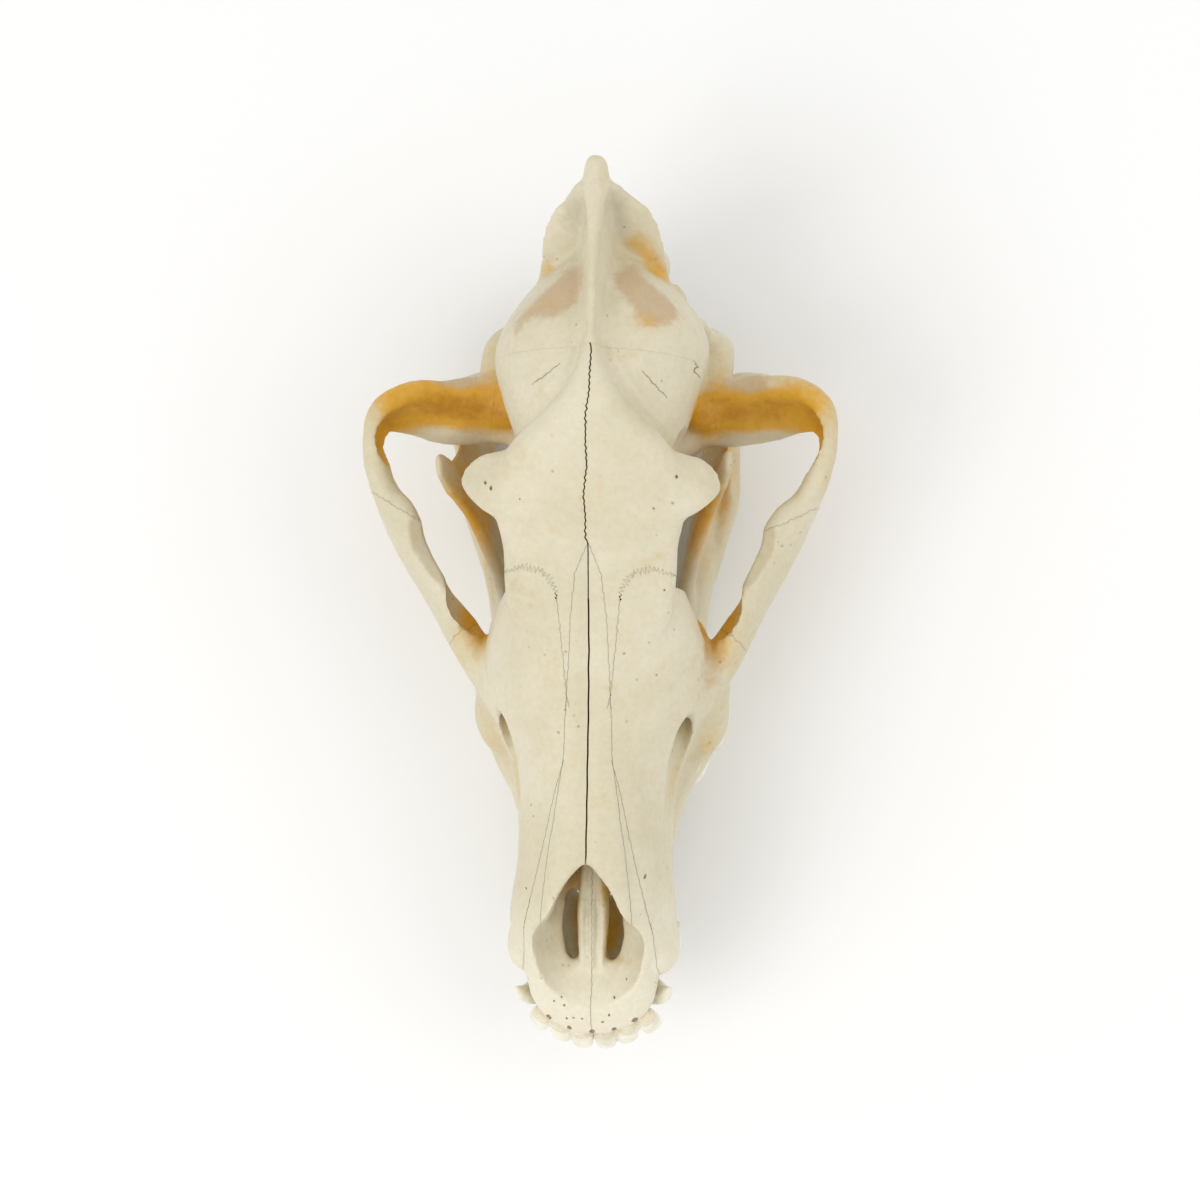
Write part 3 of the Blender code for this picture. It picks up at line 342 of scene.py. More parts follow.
def base_parts():
    """One side's ear drum shell and the plate beside the inner nostril."""
    ball("ear_drum", (19.5, 210.0, 14.5), (10.5, 14.5, 11.5), turn=(0, 0, 14))
    limb("drum_snout", [(15, 200, 14, 3, 4, 0), (11, 192, 15, 2, 3, 0)])
    limb("nostril_plate", [(13.5, 118, 10, 2.4, 8, 0), (12.0, 134, 12, 1.7, 8.6, 0),
                           (11.2, 150, 13, 1.5, 9, 0), (11.6, 162, 12.5, 1.4, 7, 0),
                           (12.2, 168, 8, 1.2, 3.4, 0)])
    limb("side_wing", [(12, 160, 20, 3, 7, 0), (17, 172, 22, 3, 7, 0), (24, 184, 22, 8, 6, 0)])


def jaw_side():
    """One half of the lower jaw."""
    limb("jaw_body", [
        (5.6, 13, -17.5, 5.2, 6.2, 0), (8.6, 22, -20, 6.2, 8.6, 0), (11.5, 35, -22.2, 5.8, 10.2, 0),
        (15.2, 55, -23.4, 5.2, 11.2, 0), (20.0, 75, -24.0, 5.6, 12.6, 0), (25.4, 95, -24.7, 6.0, 14.1, 0),
        (29.0, 113, -24.6, 6.0, 14.6, 0), (30.0, 132, -21.5, 5.2, 13.6, 0),
        (33.0, 150, -18, 4.6, 13.4, 0)],
        power=2.5)
    blade("jaw_branch", [
        (-33, 130, 176, 29.6, 36.6, 2.4), (-26, 130, 192, 28.8, 37.6, 3.6),
        (-14, 134, 195.5, 28.2, 39.6, 3.2), (-2, 139, 192.5, 28.4, 41.4, 2.7),
        (10, 148, 182, 31.6, 42.4, 2.3), (22, 157, 176, 35.8, 43.6, 2.0),
        (34, 163.0, 175.5, 39.8, 43.6, 1.8), (42, 165.5, 175.5, 42.2, 43.8, 1.6),
        (46.5, 168, 174.5, 43.4, 43.8, 1.2)])
    limb("branch_front", [(28.6, 128, -14, 4.0, 5, 0), (28.9, 139, -2, 2.8, 4, 0),
                          (31.6, 148, 10, 2.5, 3.4, 0), (35.6, 157.5, 22, 2.1, 3, 0),
                          (41.6, 166, 38, 1.8, 2.6, 0)], away_from=(36, 175, -10))
    limb("jaw_joint", [(37.5, 191.6, 9.4, 3.6, 3.9, 0), (46, 192.8, 9.6, 4.3, 4.4, 0),
                       (55.5, 192.4, 10.2, 3.5, 3.8, 0)])
    limb("joint_neck", [(40.5, 186, -8, 3.4, 6, 0), (43.0, 190, 2, 3.4, 5.0, 0),
                        (45, 192.4, 8.5, 3.4, 3.8, 0)],
         away_from=(42, 150, 0))
    limb("jaw_corner", [(36.5, 172, -27, 3.8, 5.4, 0), (38.0, 186, -25.0, 3.8, 5.4, 0),
                        (37.8, 198, -24.0, 3.2, 4.4, 0), (36.4, 206, -21.0, 1.8, 2.6, 0)])
    limb("muscle_shelf", [(34.6, 146, -24, 3.6, 3.8, 0), (39.4, 160, -24.5, 3.4, 3.6, 0),
                          (43.0, 173, -21, 3.2, 3.4, 0), (43.6, 182, -14, 2.8, 3.0, 0),
                          (43.2, 188.5, -4, 2.8, 3.0, 0)])


def chin():
    trunk("chin", [(8, 8, -22, -17, -10.5), (15, 11.6, -27, -19, -11), (28, 12.6, -31, -22, -14),
                   (42, 10, -33, -25, -19)], power=2.3)


def muscle_hollow():
    """The wide hollow on the outer face of the jaw's upright branch."""
    ball("muscle_hollow", (54.0, 167.0, 4.0), (13.0, 22.0, 28.0), turn=(0, 12, 8))


def mesh_copy(obj, mirrored=False):
    """A bmesh of the object as evaluated, turned to its mirror image if asked."""
    shape = bmesh.new()
    shape.from_mesh(obj.data)
    if mirrored:
        bmesh.ops.transform(shape, verts=shape.verts, matrix=Matrix.Diagonal((-1, 1, 1, 1)))
        bmesh.ops.reverse_faces(shape, faces=shape.faces)
    return shape


def gather(name, middle, sides):
    """Makes the middle forms once and the side forms twice, and joins them into one object."""
    known = set(bpy.data.objects)
    for make in middle:
        make()
    single = [o for o in bpy.data.objects if o not in known]
    for make in sides:
        make()
    paired = [o for o in bpy.data.objects if o not in known and o not in single]
    whole = bmesh.new()
    for obj, mirrored in [(o, False) for o in single + paired] + [(o, True) for o in paired]:
        shape = mesh_copy(obj, mirrored)
        piece = bpy.data.meshes.new("piece")
        shape.to_mesh(piece)
        shape.free()
        whole.from_mesh(piece)
        bpy.data.meshes.remove(piece)
    for obj in single + paired:
        bpy.data.objects.remove(obj)
    return add_object(name, whole)


def settle(obj):
    """Replaces an object's mesh by what its modifiers make of it."""
    graph = bpy.context.evaluated_depsgraph_get()
    graph.update()
    mesh = bpy.data.meshes.new_from_object(obj.evaluated_get(graph))
    obj.modifiers.clear()
    obj.data = mesh


def fuse(obj, voxel):
    """Makes overlapping forms one closed skin."""
    remesh = obj.modifiers.new("fuse", "REMESH")
    remesh.mode = "VOXEL"
    remesh.voxel_size = voxel
    settle(obj)


def soften(obj, rounds, factor=0.5):
    smooth = obj.modifiers.new("soften", "SMOOTH")
    smooth.factor = factor
    smooth.iterations = rounds
    settle(obj)


def carve(obj, cutter):
    """Cuts the cutter out of the object and removes the cutter."""
    cut = obj.modifiers.new("carve", "BOOLEAN")
    cut.operation = "DIFFERENCE"
    cut.solver = "MANIFOLD"
    cut.object = cutter
    settle(obj)
    bpy.data.objects.remove(cutter)


def nostril():
    """The pear-shaped front opening, open above as far back as the notch of the nasal bones."""
    trunk("nostril", [
        (2, 4, 14.5, 30, 60), (6, 10.0, 14.2, 32, 64), (10.5, 13.6, 13.8, 34, 66),
        (16, 15.4, 13.0, 35, 66), (24, 16.6, 12.2, 36, 66), (31, 16.2, 12.2, 38, 66),
        (33.2, 14.6, 12.6, 38, 66), (35.4, 11.8, 13.2, 38, 66), (38, 10.2, 13.8, 38, 66),
        (41, 8.9, 14.5, 38, 66), (45.4, 6.4, 16, 38, 66), (48.5, 3.8, 18, 38, 66),
        (51.5, 1.0, 22, 38, 66)], power=2.8)
    trunk("nose_hall", [
        (24, 13.5, 13, 24, 34), (34, 13.0, 13, 25, 40), (50, 11.5, 13, 26, 45.5), (70, 10.5, 14, 28, 47),
        (90, 9.0, 17, 29, 46.5), (100, 5.0, 22, 30, 40)], power=2.4)


def nose_wall():
    """The low bony wall that stands in the middle of the nose."""
    for sign in (-1, 1):
        limb("floor_bar", [(sign * 2.9, 18, 10, 1.0, 2.0, 0), (sign * 2.9, 24, 11.5, 1.3, 4.0, 0),
                           (sign * 3.2, 36, 13.5, 1.6, 6.0, 0), (sign * 2.4, 47, 17, 1.7, 7.0, 0),
                           (sign * 1.4, 56, 20, 1.6, 7.0, 0)])
    trunk("nose_wall", [(20, 0.9, 8, 12, 15), (34, 1.0, 8, 16, 20), (55, 1.0, 8, 18, 26),
                        (80, 1.0, 8, 20, 32), (104, 1.0, 8, 20, 36)], power=3.0)


def inner_nostril():
    trunk("inner_nostril", [
        (108, 4.0, 9, 14, 20), (116, 8.8, 2, 12, 21), (124, 9.4, -4, 12, 21.0), (140, 9.2, -4, 12, 21.5),
        (158, 8.6, -4, 11, 20.5), (172, 6.5, -4, 9, 17.0)], power=2.5)
    trunk("palate_hollow", [
        (6, 6, -12, -6, 2), (30, 12, -12, -6, 4.0), (60, 15, -12, -6, 5.0), (95, 20, -12, -6, 5.0),
        (118, 15, -12, -6, 4.0), (126, 9, -12, -6, 2)], power=2.2)
    trunk("neck_hole", [(219, 7, 20, 27, 34), (230, 9.0, 18, 27.5, 37), (240, 10.5, 17, 28, 39),
                        (252, 12, 12, 28, 42)], power=2.1)


def brow_groove():
    """The shallow hollow along the middle of the brow."""
    ball("brow_groove", (0, 123.7, 109.2), (24, 70, 40), turn=(25, 0, 0))


def side_openings():
    limb("cheek_canal", [(27.0, 66, 20.5, 2.4, 4.4, 0), (25.6, 74, 23.0, 3.0, 5.0, 0),
                         (25.6, 84, 24.5, 3.0, 4.8, 0), (27.2, 98, 25.5, 2.4, 4.0, 0),
                         (29, 116, 27, 3.0, 4.5, 0)])
    limb("palate_slit", [(6.0, 25, 8, 2.3, 10, 0), (7.0, 33, 8, 3.0, 10, 0), (6.4, 42, 8, 2.4, 10, 0)])
    ball("ear_hole", (33.0, 204.5, 19.5), (6.5, 3.6, 3.8), turn=(0, 12, 0))
    ball("orbit", (41.6, 143.0, 52.0), (19.2, 18.6, 18.5))
    ball("orbit_floor", (31.5, 137.5, 32.0), (13.0, 18.5, 11.0), turn=(0, 0, 22))
    ball("temple_hollow", (37.0, 170.0, 50.0), (16.5, 15.0, 20.0), turn=(0, 0, -12))
    ball("root_hollow", (50, 179, 40.4), (19, 13, 13))
    limb("joint_hollow", [(29, 192.8, 9.6, 7.0, 7.0, 0), (60, 192.8, 10.6, 7.0, 7.0, 0)])
    ball("nose_side", (31.5, 62.0, 34.0), (9.0, 36.0, 16.0), turn=(0, 20, 4))


def set_askew(obj):
    """Moves the arches and the rear a little to one side, as in the skull of the photograph."""
    co = np.empty(len(obj.data.vertices) * 3)
    obj.data.vertices.foreach_get("co", co)
    x, y, z = co.reshape(-1, 3).T
    outward = np.clip((np.abs(x) - 34.0) / 16.0, 0, 1)
    outward = outward * outward * (3 - 2 * outward)
    middle = np.exp(-((y - 146.0) / 28.0) ** 2)
    behind = np.clip((y - 165.0) / 25.0, 0, 1)
    rear = np.clip((y - 198.0) / 14.0, 0, 1) * np.clip((np.abs(x) - 5.0) / 6.0, 0, 1)
    moved = np.stack([x + outward * middle * ARCH_SHIFT + rear * REAR_SHIFT,
                      y + outward * behind * np.sign(x) * ARCH_STEP, z], axis=1)
    obj.data.vertices.foreach_set("co", moved.ravel())
    obj.data.update()


def plate(name, outline, low, high, axis):
    """A flat slab: an outline in the plane across one axis, between two levels on that axis."""
    spare = [i for i in range(3) if i != axis]
    shape = bmesh.new()
    loops = []
    for level in (low, high):
        loop = []
        for a, b in outline:
            point = [0.0, 0.0, 0.0]
            point[spare[0]], point[spare[1]], point[axis] = a, b, level
            loop.append(shape.verts.new(point))
        loops.append(loop)
    count = len(outline)
    for i in range(count):
        j = (i + 1) % count
        shape.faces.new((loops[0][i], loops[0][j], loops[1][j], loops[1][i]))
    shape.faces.new(loops[0])
    shape.faces.new(reversed(loops[1]))
    bmesh.ops.recalc_face_normals(shape, faces=shape.faces)
    return add_object(name, shape)


def both_sides(points):
    named = {}
    for name, (x, y, z) in points.items():
        named[name + "_left"] = (x, y, z)
        named[name + "_right"] = (-x, y, z)
    return named


def turned_jaw():
    pivot = Matrix.Translation(JAW_PIVOT)
    return pivot @ Matrix.Rotation(JAW_TURN, 4, "Z") @ pivot.inverted()


def even(path, step):
    """A path with points set evenly along it, and their distances from its start."""
    points = np.array(path, float)
    at = np.concatenate([[0.0], np.cumsum(np.linalg.norm(np.diff(points, axis=0), axis=1))])
    count = max(int(round(at[-1] / step)), 2)
    fine = np.linspace(0, at[-1], count + 1)
    return np.stack([np.interp(fine, at, points[:, k]) for k in range(points.shape[1])], axis=1), fine


def wander(path, reach, step, seed, drift=0.0):
    """The path with the small turns of a suture or a crack. Its ends stay where they are."""
    draw = np.random.default_rng(seed)
    base, at = even(path, step)
    ahead = np.gradient(base, axis=0)
    ahead /= np.linalg.norm(ahead, axis=1)[:, None]
    side = np.stack([ahead[:, 1], -ahead[:, 0]], axis=1)
    turns = np.where(np.arange(len(base)) % 2, 1.0, -1.0) * draw.uniform(0.15, 1.0, len(base)) * reach
    for length in (7, 13, 29):
        knots = draw.uniform(-1, 1, int(at[-1] / length) + 3)
        turns = turns + drift * np.interp(at / length, np.arange(len(knots)), knots) * 0.6
    slack = np.clip(np.minimum(at, at[-1] - at) / (2 * step), 0, 1)
    return base + side * (turns * slack)[:, None]


def ribbon(path, width):
    """The outline of a line of even width along a path, with mitred corners."""
    points = np.array(path, float)
    runs = np.diff(points, axis=0)
    runs /= np.linalg.norm(runs, axis=1)[:, None]
    normals = np.stack([runs[:, 1], -runs[:, 0]], axis=1)
    before = np.vstack([normals[:1], normals])
    after = np.vstack([normals, normals[-1:]])
    share = 1 + (before * after).sum(axis=1)
    mitre = (before + after) / np.maximum(share, 0.35)[:, None]
    left = points + mitre * width / 2
    right = points - mitre * width / 2
    return [tuple(p) for p in left] + [tuple(p) for p in right[::-1]]


def seam(name, path, low, high, axis=2, width=0.06, reach=0.0, step=1.2, seed=0, drift=0.0):
    """A sheet as thin as a suture that follows a path across one axis."""
    course = wander(path, reach, step, seed, drift) if reach or drift else path
    return plate(name, ribbon(course, width), low, high, axis)


# Levels and places of the sutures, in millimetres, as in the solids.
TOP = 130.0
BROW_FLOOR = 45.0
CROWN_Y = 199.0
PALATE_END = 128.0
NASAL_BACK = 143.0
SPEAR_FRONT = 86.0
SPUR_FLOOR = 31.0
NASAL_FLOOR = 36.0
FRONT_SHELF = 15.0
FRONT_BACK = 41.0
NASAL_EDGE = ((15.5, 20), (14.0, 31), (12.6, 45), (11.3, 55), (9.6, 65), (7.4, 83), (6.5, 99), (6.4, 101))
NASAL_END = ((6.55, 97), (6.5, 99), (5.3, 122), (3.8, 135), (0, NASAL_BACK + 0.5), (-3.8, 135),
             (-5.3, 122), (-6.5, 99), (-6.55, 97))
BROW_SIDE = ((5.6, 97), (6.5, 101), (7.6, 112), (9.2, 128), (9.6, 129.5))
BROW_FRINGE = ((9.0, 127.5), (10.4, 132.4), (12.4, 135.2), (19.6, 137), (26, 135.2))
BROW_BACK = ((24, 135.8), (26, 135), (42, 131))
SPUR_EDGE = ((7.0, 82), (9.6, 73), (13.5, 55), (17, FRONT_BACK), (19.3, 32), (20.2, 22), (21.6, 15), (30, 10))
FRONT_EDGE = ((12.5, 42), (13, 34), (14, 24), (16.5, 18.5), (21.6, 15), (30, 11))
TEMPLE_EDGE = ((37, 174), (34.0, 188), (31.8, 203), (30.6, 212), (31.5, 222), (42, 226))


def quiet_middle():
    """Partings across the middle that hardly show on the real skull."""
    seam("crown", ((-45, CROWN_Y), (45, CROWN_Y)), BROW_FLOOR, TOP, width=0.03)
    seam("brow_floor", ((PALATE_END, BROW_FLOOR), (CROWN_Y, BROW_FLOOR)), -40, 40, 0, width=0.03)
    seam("spear_floor", ((SPEAR_FRONT, BROW_FLOOR), (PALATE_END, BROW_FLOOR)), -9.7, 9.7, 0, width=0.03)
    seam("spear_front", ((-9.7, SPEAR_FRONT), (9.7, SPEAR_FRONT)), 32, BROW_FLOOR + 0.1, width=0.03)
    seam("palate_end", ((-37, PALATE_END), (37, PALATE_END)), -30, BROW_FLOOR, width=0.03)


def quiet_sides():
    """Partings of one side that hardly show."""
    plate("nasal_floor", ((7, 18), (16.6, 18), (14.9, 31), (13.5, 45), (12.2, 55), (10.5, 65), (9.2, 75),
                          (7, 75)), NASAL_FLOOR - 0.02, NASAL_FLOOR + 0.02, 2)
    seam("spur_floor", ((FRONT_BACK, SPUR_FLOOR), (83, SPUR_FLOOR)), 6.3, 17.8, 0, width=0.03)
    seam("front_back", ((0, FRONT_BACK), (17.4, FRONT_BACK)), FRONT_SHELF, SPUR_FLOOR, width=0.03)
    plate("front_shelf", ((12.2, FRONT_BACK + 0.1), (17.4, FRONT_BACK + 0.1), (19.8, 32), (20.7, 22),
                          (22.0, 15), (16.4, 18.0), (13.6, 24), (12.6, 34)),
          FRONT_SHELF - 0.02, FRONT_SHELF + 0.02, 2)
    seam("temple", TEMPLE_EDGE, -20, 42, width=0.03)


def bold_middle():
    """Sutures in the middle that show as lines."""
    seam("nose_slit", ((0, 40), (0, PALATE_END + 0.1)), 30, TOP, width=0.5, reach=0.12, step=5, seed=3)
    seam("nose_slit_back", ((0, PALATE_END), (0, NASAL_BACK + 0.3)), BROW_FLOOR, TOP, width=0.35)
    seam("palate_line", ((0, -20), (0, PALATE_END + 0.1)), -60, 30.1, width=0.08, reach=0.25, step=1.3,
         seed=5)
    seam("brow_crack", ((0, NASAL_BACK), (0, CROWN_Y + 0.1)), BROW_FLOOR, TOP, width=0.36, reach=0.3,
         step=0.9, seed=8, drift=1.0)
    seam("nasal_end", NASAL_END, BROW_FLOOR, TOP, reach=0.18, step=1.4, seed=9)


def bold_sides():
    """Sutures of one side that show as lines."""
    seam("nasal_edge", NASAL_EDGE, NASAL_FLOOR, TOP, width=0.07, reach=0.1, step=1.9, seed=13,
         drift=0.2)
    seam("brow_side", BROW_SIDE, BROW_FLOOR, TOP, reach=0.2, step=1.3, seed=14)
    seam("brow_fringe", BROW_FRINGE, BROW_FLOOR, TOP, width=0.04, reach=1.3, step=0.6, seed=15,
         drift=0.5)
    seam("brow_back", BROW_BACK, BROW_FLOOR, TOP, reach=0.4, step=1.3, seed=16)
    seam("spur", SPUR_EDGE[:5], SPUR_FLOOR, TOP, width=0.07, reach=0.12, step=1.8, seed=17)
    seam("spur_front", SPUR_EDGE[3:], FRONT_SHELF, TOP, width=0.07, reach=0.12, step=1.8, seed=18)
    seam("front_palate", ((0, FRONT_BACK), (12.8, FRONT_BACK)), -40, FRONT_SHELF, width=0.1)
    seam("front_edge", FRONT_EDGE, -40, FRONT_SHELF, reach=0.2, step=1.3, seed=19)
    seam("cheek", ((32.5, 128.0), (56, 108.5)), 2, 70, reach=0.5, step=1.4, seed=20)
    seam("arch_lap", ((45, 151.5), (54, 153.4), (60, 156.5), (69, 162), (78, 167)), 15, 60, reach=0.3,
         step=1.1, seed=21)


def part_along(obj, middle, sides):
    """Cuts an object along the sheets that the makers lay, one after another."""
    for sheet in loose(gather("sheets", middle, sides)):
        carve(obj, sheet)


def loose(obj):
    """Parts an object into one object for each loose piece of its mesh."""
    before = set(bpy.data.objects) - {obj}
    bpy.ops.object.select_all(action="DESELECT")
    obj.select_set(True)
    bpy.context.view_layer.objects.active = obj
    bpy.ops.object.mode_set(mode="EDIT")
    bpy.ops.mesh.select_all(action="SELECT")
    bpy.ops.mesh.separate(type="LOOSE")
    bpy.ops.object.mode_set(mode="OBJECT")
    return [o for o in bpy.data.objects if o not in before]


def coordinates(obj):
    """The vertices' places as an array."""
    co = np.empty(len(obj.data.vertices) * 3)
    obj.data.vertices.foreach_get("co", co)
    return co.reshape(-1, 3)


def place(obj, co):
    obj.data.vertices.foreach_set("co", co.ravel())
    obj.data.update()


# A point on each bone, to know its piece by.
MIDDLE_BONES = {"braincase": (0, 215, 89)}
PAIRED_BONES = {
    "frontal": (20, 155, 79), "nasal": (3, 70, 51), "maxilla": (24, 60, 20), "premaxilla": (8, 0, 5),
    "zygomatic": (58, 147, 36), "temporal": (68, 184, 44)}
PAIRED_JAWS = {"mandible": (25, 95, -30)}


def name_pieces(pieces, points):
    """Gives each named point its nearest piece and removes the crumbs."""
    kept = {}
    cloud = {piece: coordinates(piece) for piece in pieces}
    for name, point in points.items():
        left = [p for p in pieces if p not in kept.values()]
        kept[name] = min(left, key=lambda p: np.linalg.norm(cloud[p] - np.array(point), axis=1).min())
    for piece in pieces:
        if piece not in kept.values():
            bpy.data.objects.remove(piece)
    return kept


def ripple(co, size, seed):
    """A smooth random field over space, about -1 to 1, with waves of roughly the given size."""
    draw = np.random.default_rng(seed)
    field = np.zeros(len(co))
    for _ in range(14):
        way = draw.normal(size=3)
        way /= np.linalg.norm(way)
        wave = size * draw.uniform(0.7, 1.5)
        field += np.sin(co @ way * 2 * math.pi / wave + draw.uniform(0, 2 * math.pi))
    return field / math.sqrt(14)


def near(co, centre, radii):
    """How near each point is to an egg shape's middle: 1 there, falling smoothly to nothing outside it."""
    away = ((co - np.array(centre)) / np.array(radii))
    return np.exp(-1.6 * (away ** 2).sum(axis=1))


def along(co, path):
    """The distance in plan of each point from a line of points."""
    points = np.array(path, float)
    best = np.full(len(co), 1e9)
    for a, b in zip(points, points[1:]):
        run = b - a
        t = np.clip(((co[:, :2] - a) @ run) / (run @ run), 0, 1)
        best = np.minimum(best, np.linalg.norm(co[:, :2] - a - t[:, None] * run, axis=1))
    return best


# Low relief: centre, radii and how far the surface moves along its normal, in millimetres.
SIDE_RELIEF = (
    ((22.5, 29, 14), (5, 8, 9), 0.8), ((25, 84, 5), (3, 4.5, 8), 0.9), ((32, 92, 5), (4, 4.5, 8), 0.9),
    ((21.5, 49, 5), (3, 2.6, 5), 0.6), ((21.5, 55, 5), (3, 2.6, 5), 0.6),
    ((22.5, 63, 5), (3, 2.8, 6), 0.7), ((23.5, 69.5, 5), (3, 2.8, 6), 0.7),
    ((12, 150, 79), (8, 13, 8), 0.9), ((17, 113, 61), (7, 12, 8), -0.7),
    ((24, 206, 70), (10, 14, 10), 0.6),
)
TEMPORAL_LINE = ((34, 166), (26.5, 173.5), (17.0, 182.0), (9.0, 191.5), (4.0, 203), (1.0, 214))


def weather(obj):
    """Gives the fused bone its low relief and the unevenness of a real one."""
    co = coordinates(obj)
    normals = np.empty(len(obj.data.vertices) * 3)
    obj.data.vertices.foreach_get("normal", normals)
    normals = normals.reshape(-1, 3)
    folded = co.copy()
    folded[:, 0] = np.abs(folded[:, 0])
    rise = 0.16 * ripple(co, 22, 31) + 0.07 * ripple(co, 8, 32) + 0.03 * ripple(co, 3.2, 33)
    for centre, radii, height in SIDE_RELIEF:
        rise += height * near(folded, centre, radii)
    line = along(folded, TEMPORAL_LINE)
    upward = np.clip(normals[:, 2] * 1.6, 0, 1) * (co[:, 2] > 60)
    rise += upward * (0.55 * np.exp(-(line / 1.3) ** 2) - 0.35 * np.exp(-((line - 3.2) / 2.0) ** 2))
    gutter = np.clip((150.0 - co[:, 1]) / 25.0, 0, 1) * np.clip(normals[:, 2] * 1.6, 0, 1) * (co[:, 2] > 40)
    rise -= gutter * 0.8 * np.exp(-(co[:, 0] / 2.4) ** 2)
    place(obj, co + normals * rise[:, None])


def heights(obj, path):
    """The path's points on the object's upper surface."""
    shape = BVHTree.FromObject(obj, bpy.context.evaluated_depsgraph_get())
    made = []
    for x, y in path:
        hit = shape.ray_cast(Vector((x, y, TOP)), Vector((0, 0, -1)))[0]
        if hit:
            made.append(hit)
    return made


def scratch(obj, name, path, width, depth, reach, step, seed):
    """Cuts one hairline crack into the upper surface."""
    course = heights(obj, wander(path, reach, step, seed))
    rings = []
    for i, at in enumerate(course):
        ahead = (course[min(i + 1, len(course) - 1)] - course[max(i - 1, 0)]).normalized()
        side = Vector((ahead.y, -ahead.x, 0)).normalized() * width / 2
        share = 0.35 if i in (0, len(course) - 1) else 1.0
        rings.append([at + side * share + Vector((0, 0, 0.8)), at - side * share + Vector((0, 0, 0.8)),
                      at - side * share - Vector((0, 0, depth * share)),
                      at + side * share - Vector((0, 0, depth * share))])
    carve(obj, skin(name, rings))


# Hairline cracks: path in plan, width, depth, how far it wanders, step.
CRACKS = (
    (((-17.5, 189), (-13, 191.5), (-9, 194.5)), 0.08, 0.6, 0.22, 1.3),
    (((14.5, 193), (18, 189.5), (21.5, 186.5)), 0.09, 0.6, 0.25, 1.3),
    (((28.6, 199.5), (29.6, 198.0), (28.4, 196.8), (30.2, 195.6)), 0.2, 0.6, 0.25, 0.8),
)
# The mouths of small vessels: place in plan, radius, and how long they are drawn out.
PORES = (
    (-30.0, 160.0, 0.38, 1.3), (-28.2, 158.3, 0.45, 1.4), (25.2, 162.4, 0.42, 1.2),
    (-19.5, 155.0, 0.22, 1.0), (19.0, 153.0, 0.22, 1.0), (22.0, 131.0, 0.22, 1.6),
    (-24.0, 126.0, 0.22, 1.2), (-11.2, 9.9, 0.3, 1.2), (-8.1, 8.7, 0.34, 1.2), (-7.5, 4.6, 0.32, 1.2),
    (-5.4, 4.8, 0.24, 1.0), (-2.7, 4.6, 0.28, 1.0), (3.5, 3.8, 0.32, 1.0), (5.6, 6.1, 0.36, 1.3),
    (7.2, 11.5, 0.32, 1.3), (-8.9, 11.2, 0.26, 1.0), (10.9, 17.3, 0.26, 1.0), (17.0, 48.5, 0.38, 2.4),
    (-18.5, 44.0, 0.28, 1.6), (0.1, 0.6, 0.8, 1.3), (-6.9, 1.5, 0.8, 1.3), (6.9, 1.5, 0.8, 1.3),
    (-13.3, 4.6, 1.0, 1.1), (13.3, 4.6, 1.0, 1.1),
)


def set_out_tree():
    """Sets one shape out on points, each turned and sized by the point's own values."""
    tree = bpy.data.node_groups.new("set_out", "GeometryNodeTree")
    tree.interface.new_socket("Geometry", in_out="INPUT", socket_type="NodeSocketGeometry")
    tree.interface.new_socket("Shape", in_out="INPUT", socket_type="NodeSocketObject")
    tree.interface.new_socket("Finish", in_out="INPUT", socket_type="NodeSocketMaterial")
    tree.interface.new_socket("Geometry", in_out="OUTPUT", socket_type="NodeSocketGeometry")
    nodes, links = tree.nodes, tree.links
    entry = nodes.new("NodeGroupInput")
    exit_node = nodes.new("NodeGroupOutput")
    points = nodes.new("GeometryNodeMeshToPoints")
    info = nodes.new("GeometryNodeObjectInfo")
    turn = nodes.new("GeometryNodeInputNamedAttribute")
    turn.data_type = "FLOAT_VECTOR"
    turn.inputs["Name"].default_value = "turn"
    size = nodes.new("GeometryNodeInputNamedAttribute")
    size.data_type = "FLOAT_VECTOR"
    size.inputs["Name"].default_value = "size"
    lay = nodes.new("GeometryNodeInstanceOnPoints")
    real = nodes.new("GeometryNodeRealizeInstances")
    finish = nodes.new("GeometryNodeSetMaterial")
    links.new(entry.outputs["Geometry"], points.inputs["Mesh"])
    links.new(points.outputs["Points"], lay.inputs["Points"])
    links.new(entry.outputs["Shape"], info.inputs["Object"])
    links.new(info.outputs["Geometry"], lay.inputs["Instance"])
    links.new(turn.outputs["Attribute"], lay.inputs["Rotation"])
    links.new(size.outputs["Attribute"], lay.inputs["Scale"])
    links.new(lay.outputs["Instances"], real.inputs["Geometry"])
    links.new(real.outputs["Geometry"], finish.inputs["Geometry"])
    links.new(entry.outputs["Finish"], finish.inputs["Material"])
    links.new(finish.outputs["Geometry"], exit_node.inputs["Geometry"])
    return tree


def set_out(name, shape, places, turns, sizes):
    """One mesh of the shape set out at the places."""
    tree = set_out_tree()
    mesh = bpy.data.meshes.new(name)
    mesh.from_pydata([tuple(p) for p in places], [], [])
    for label, values in (("turn", turns), ("size", sizes)):
        layer = mesh.attributes.new(label, "FLOAT_VECTOR", "POINT")
        layer.data.foreach_set("vector", np.array(values, float).ravel())
    obj = bpy.data.objects.new(name, mesh)
    bpy.context.scene.collection.objects.link(obj)
    lay = obj.modifiers.new("set_out", "NODES")
    lay.node_group = tree
    sockets = {s.name: s.identifier for s in tree.interface.items_tree if s.in_out == "INPUT"}
    lay[sockets["Shape"]] = shape
    settle(obj)
    return obj


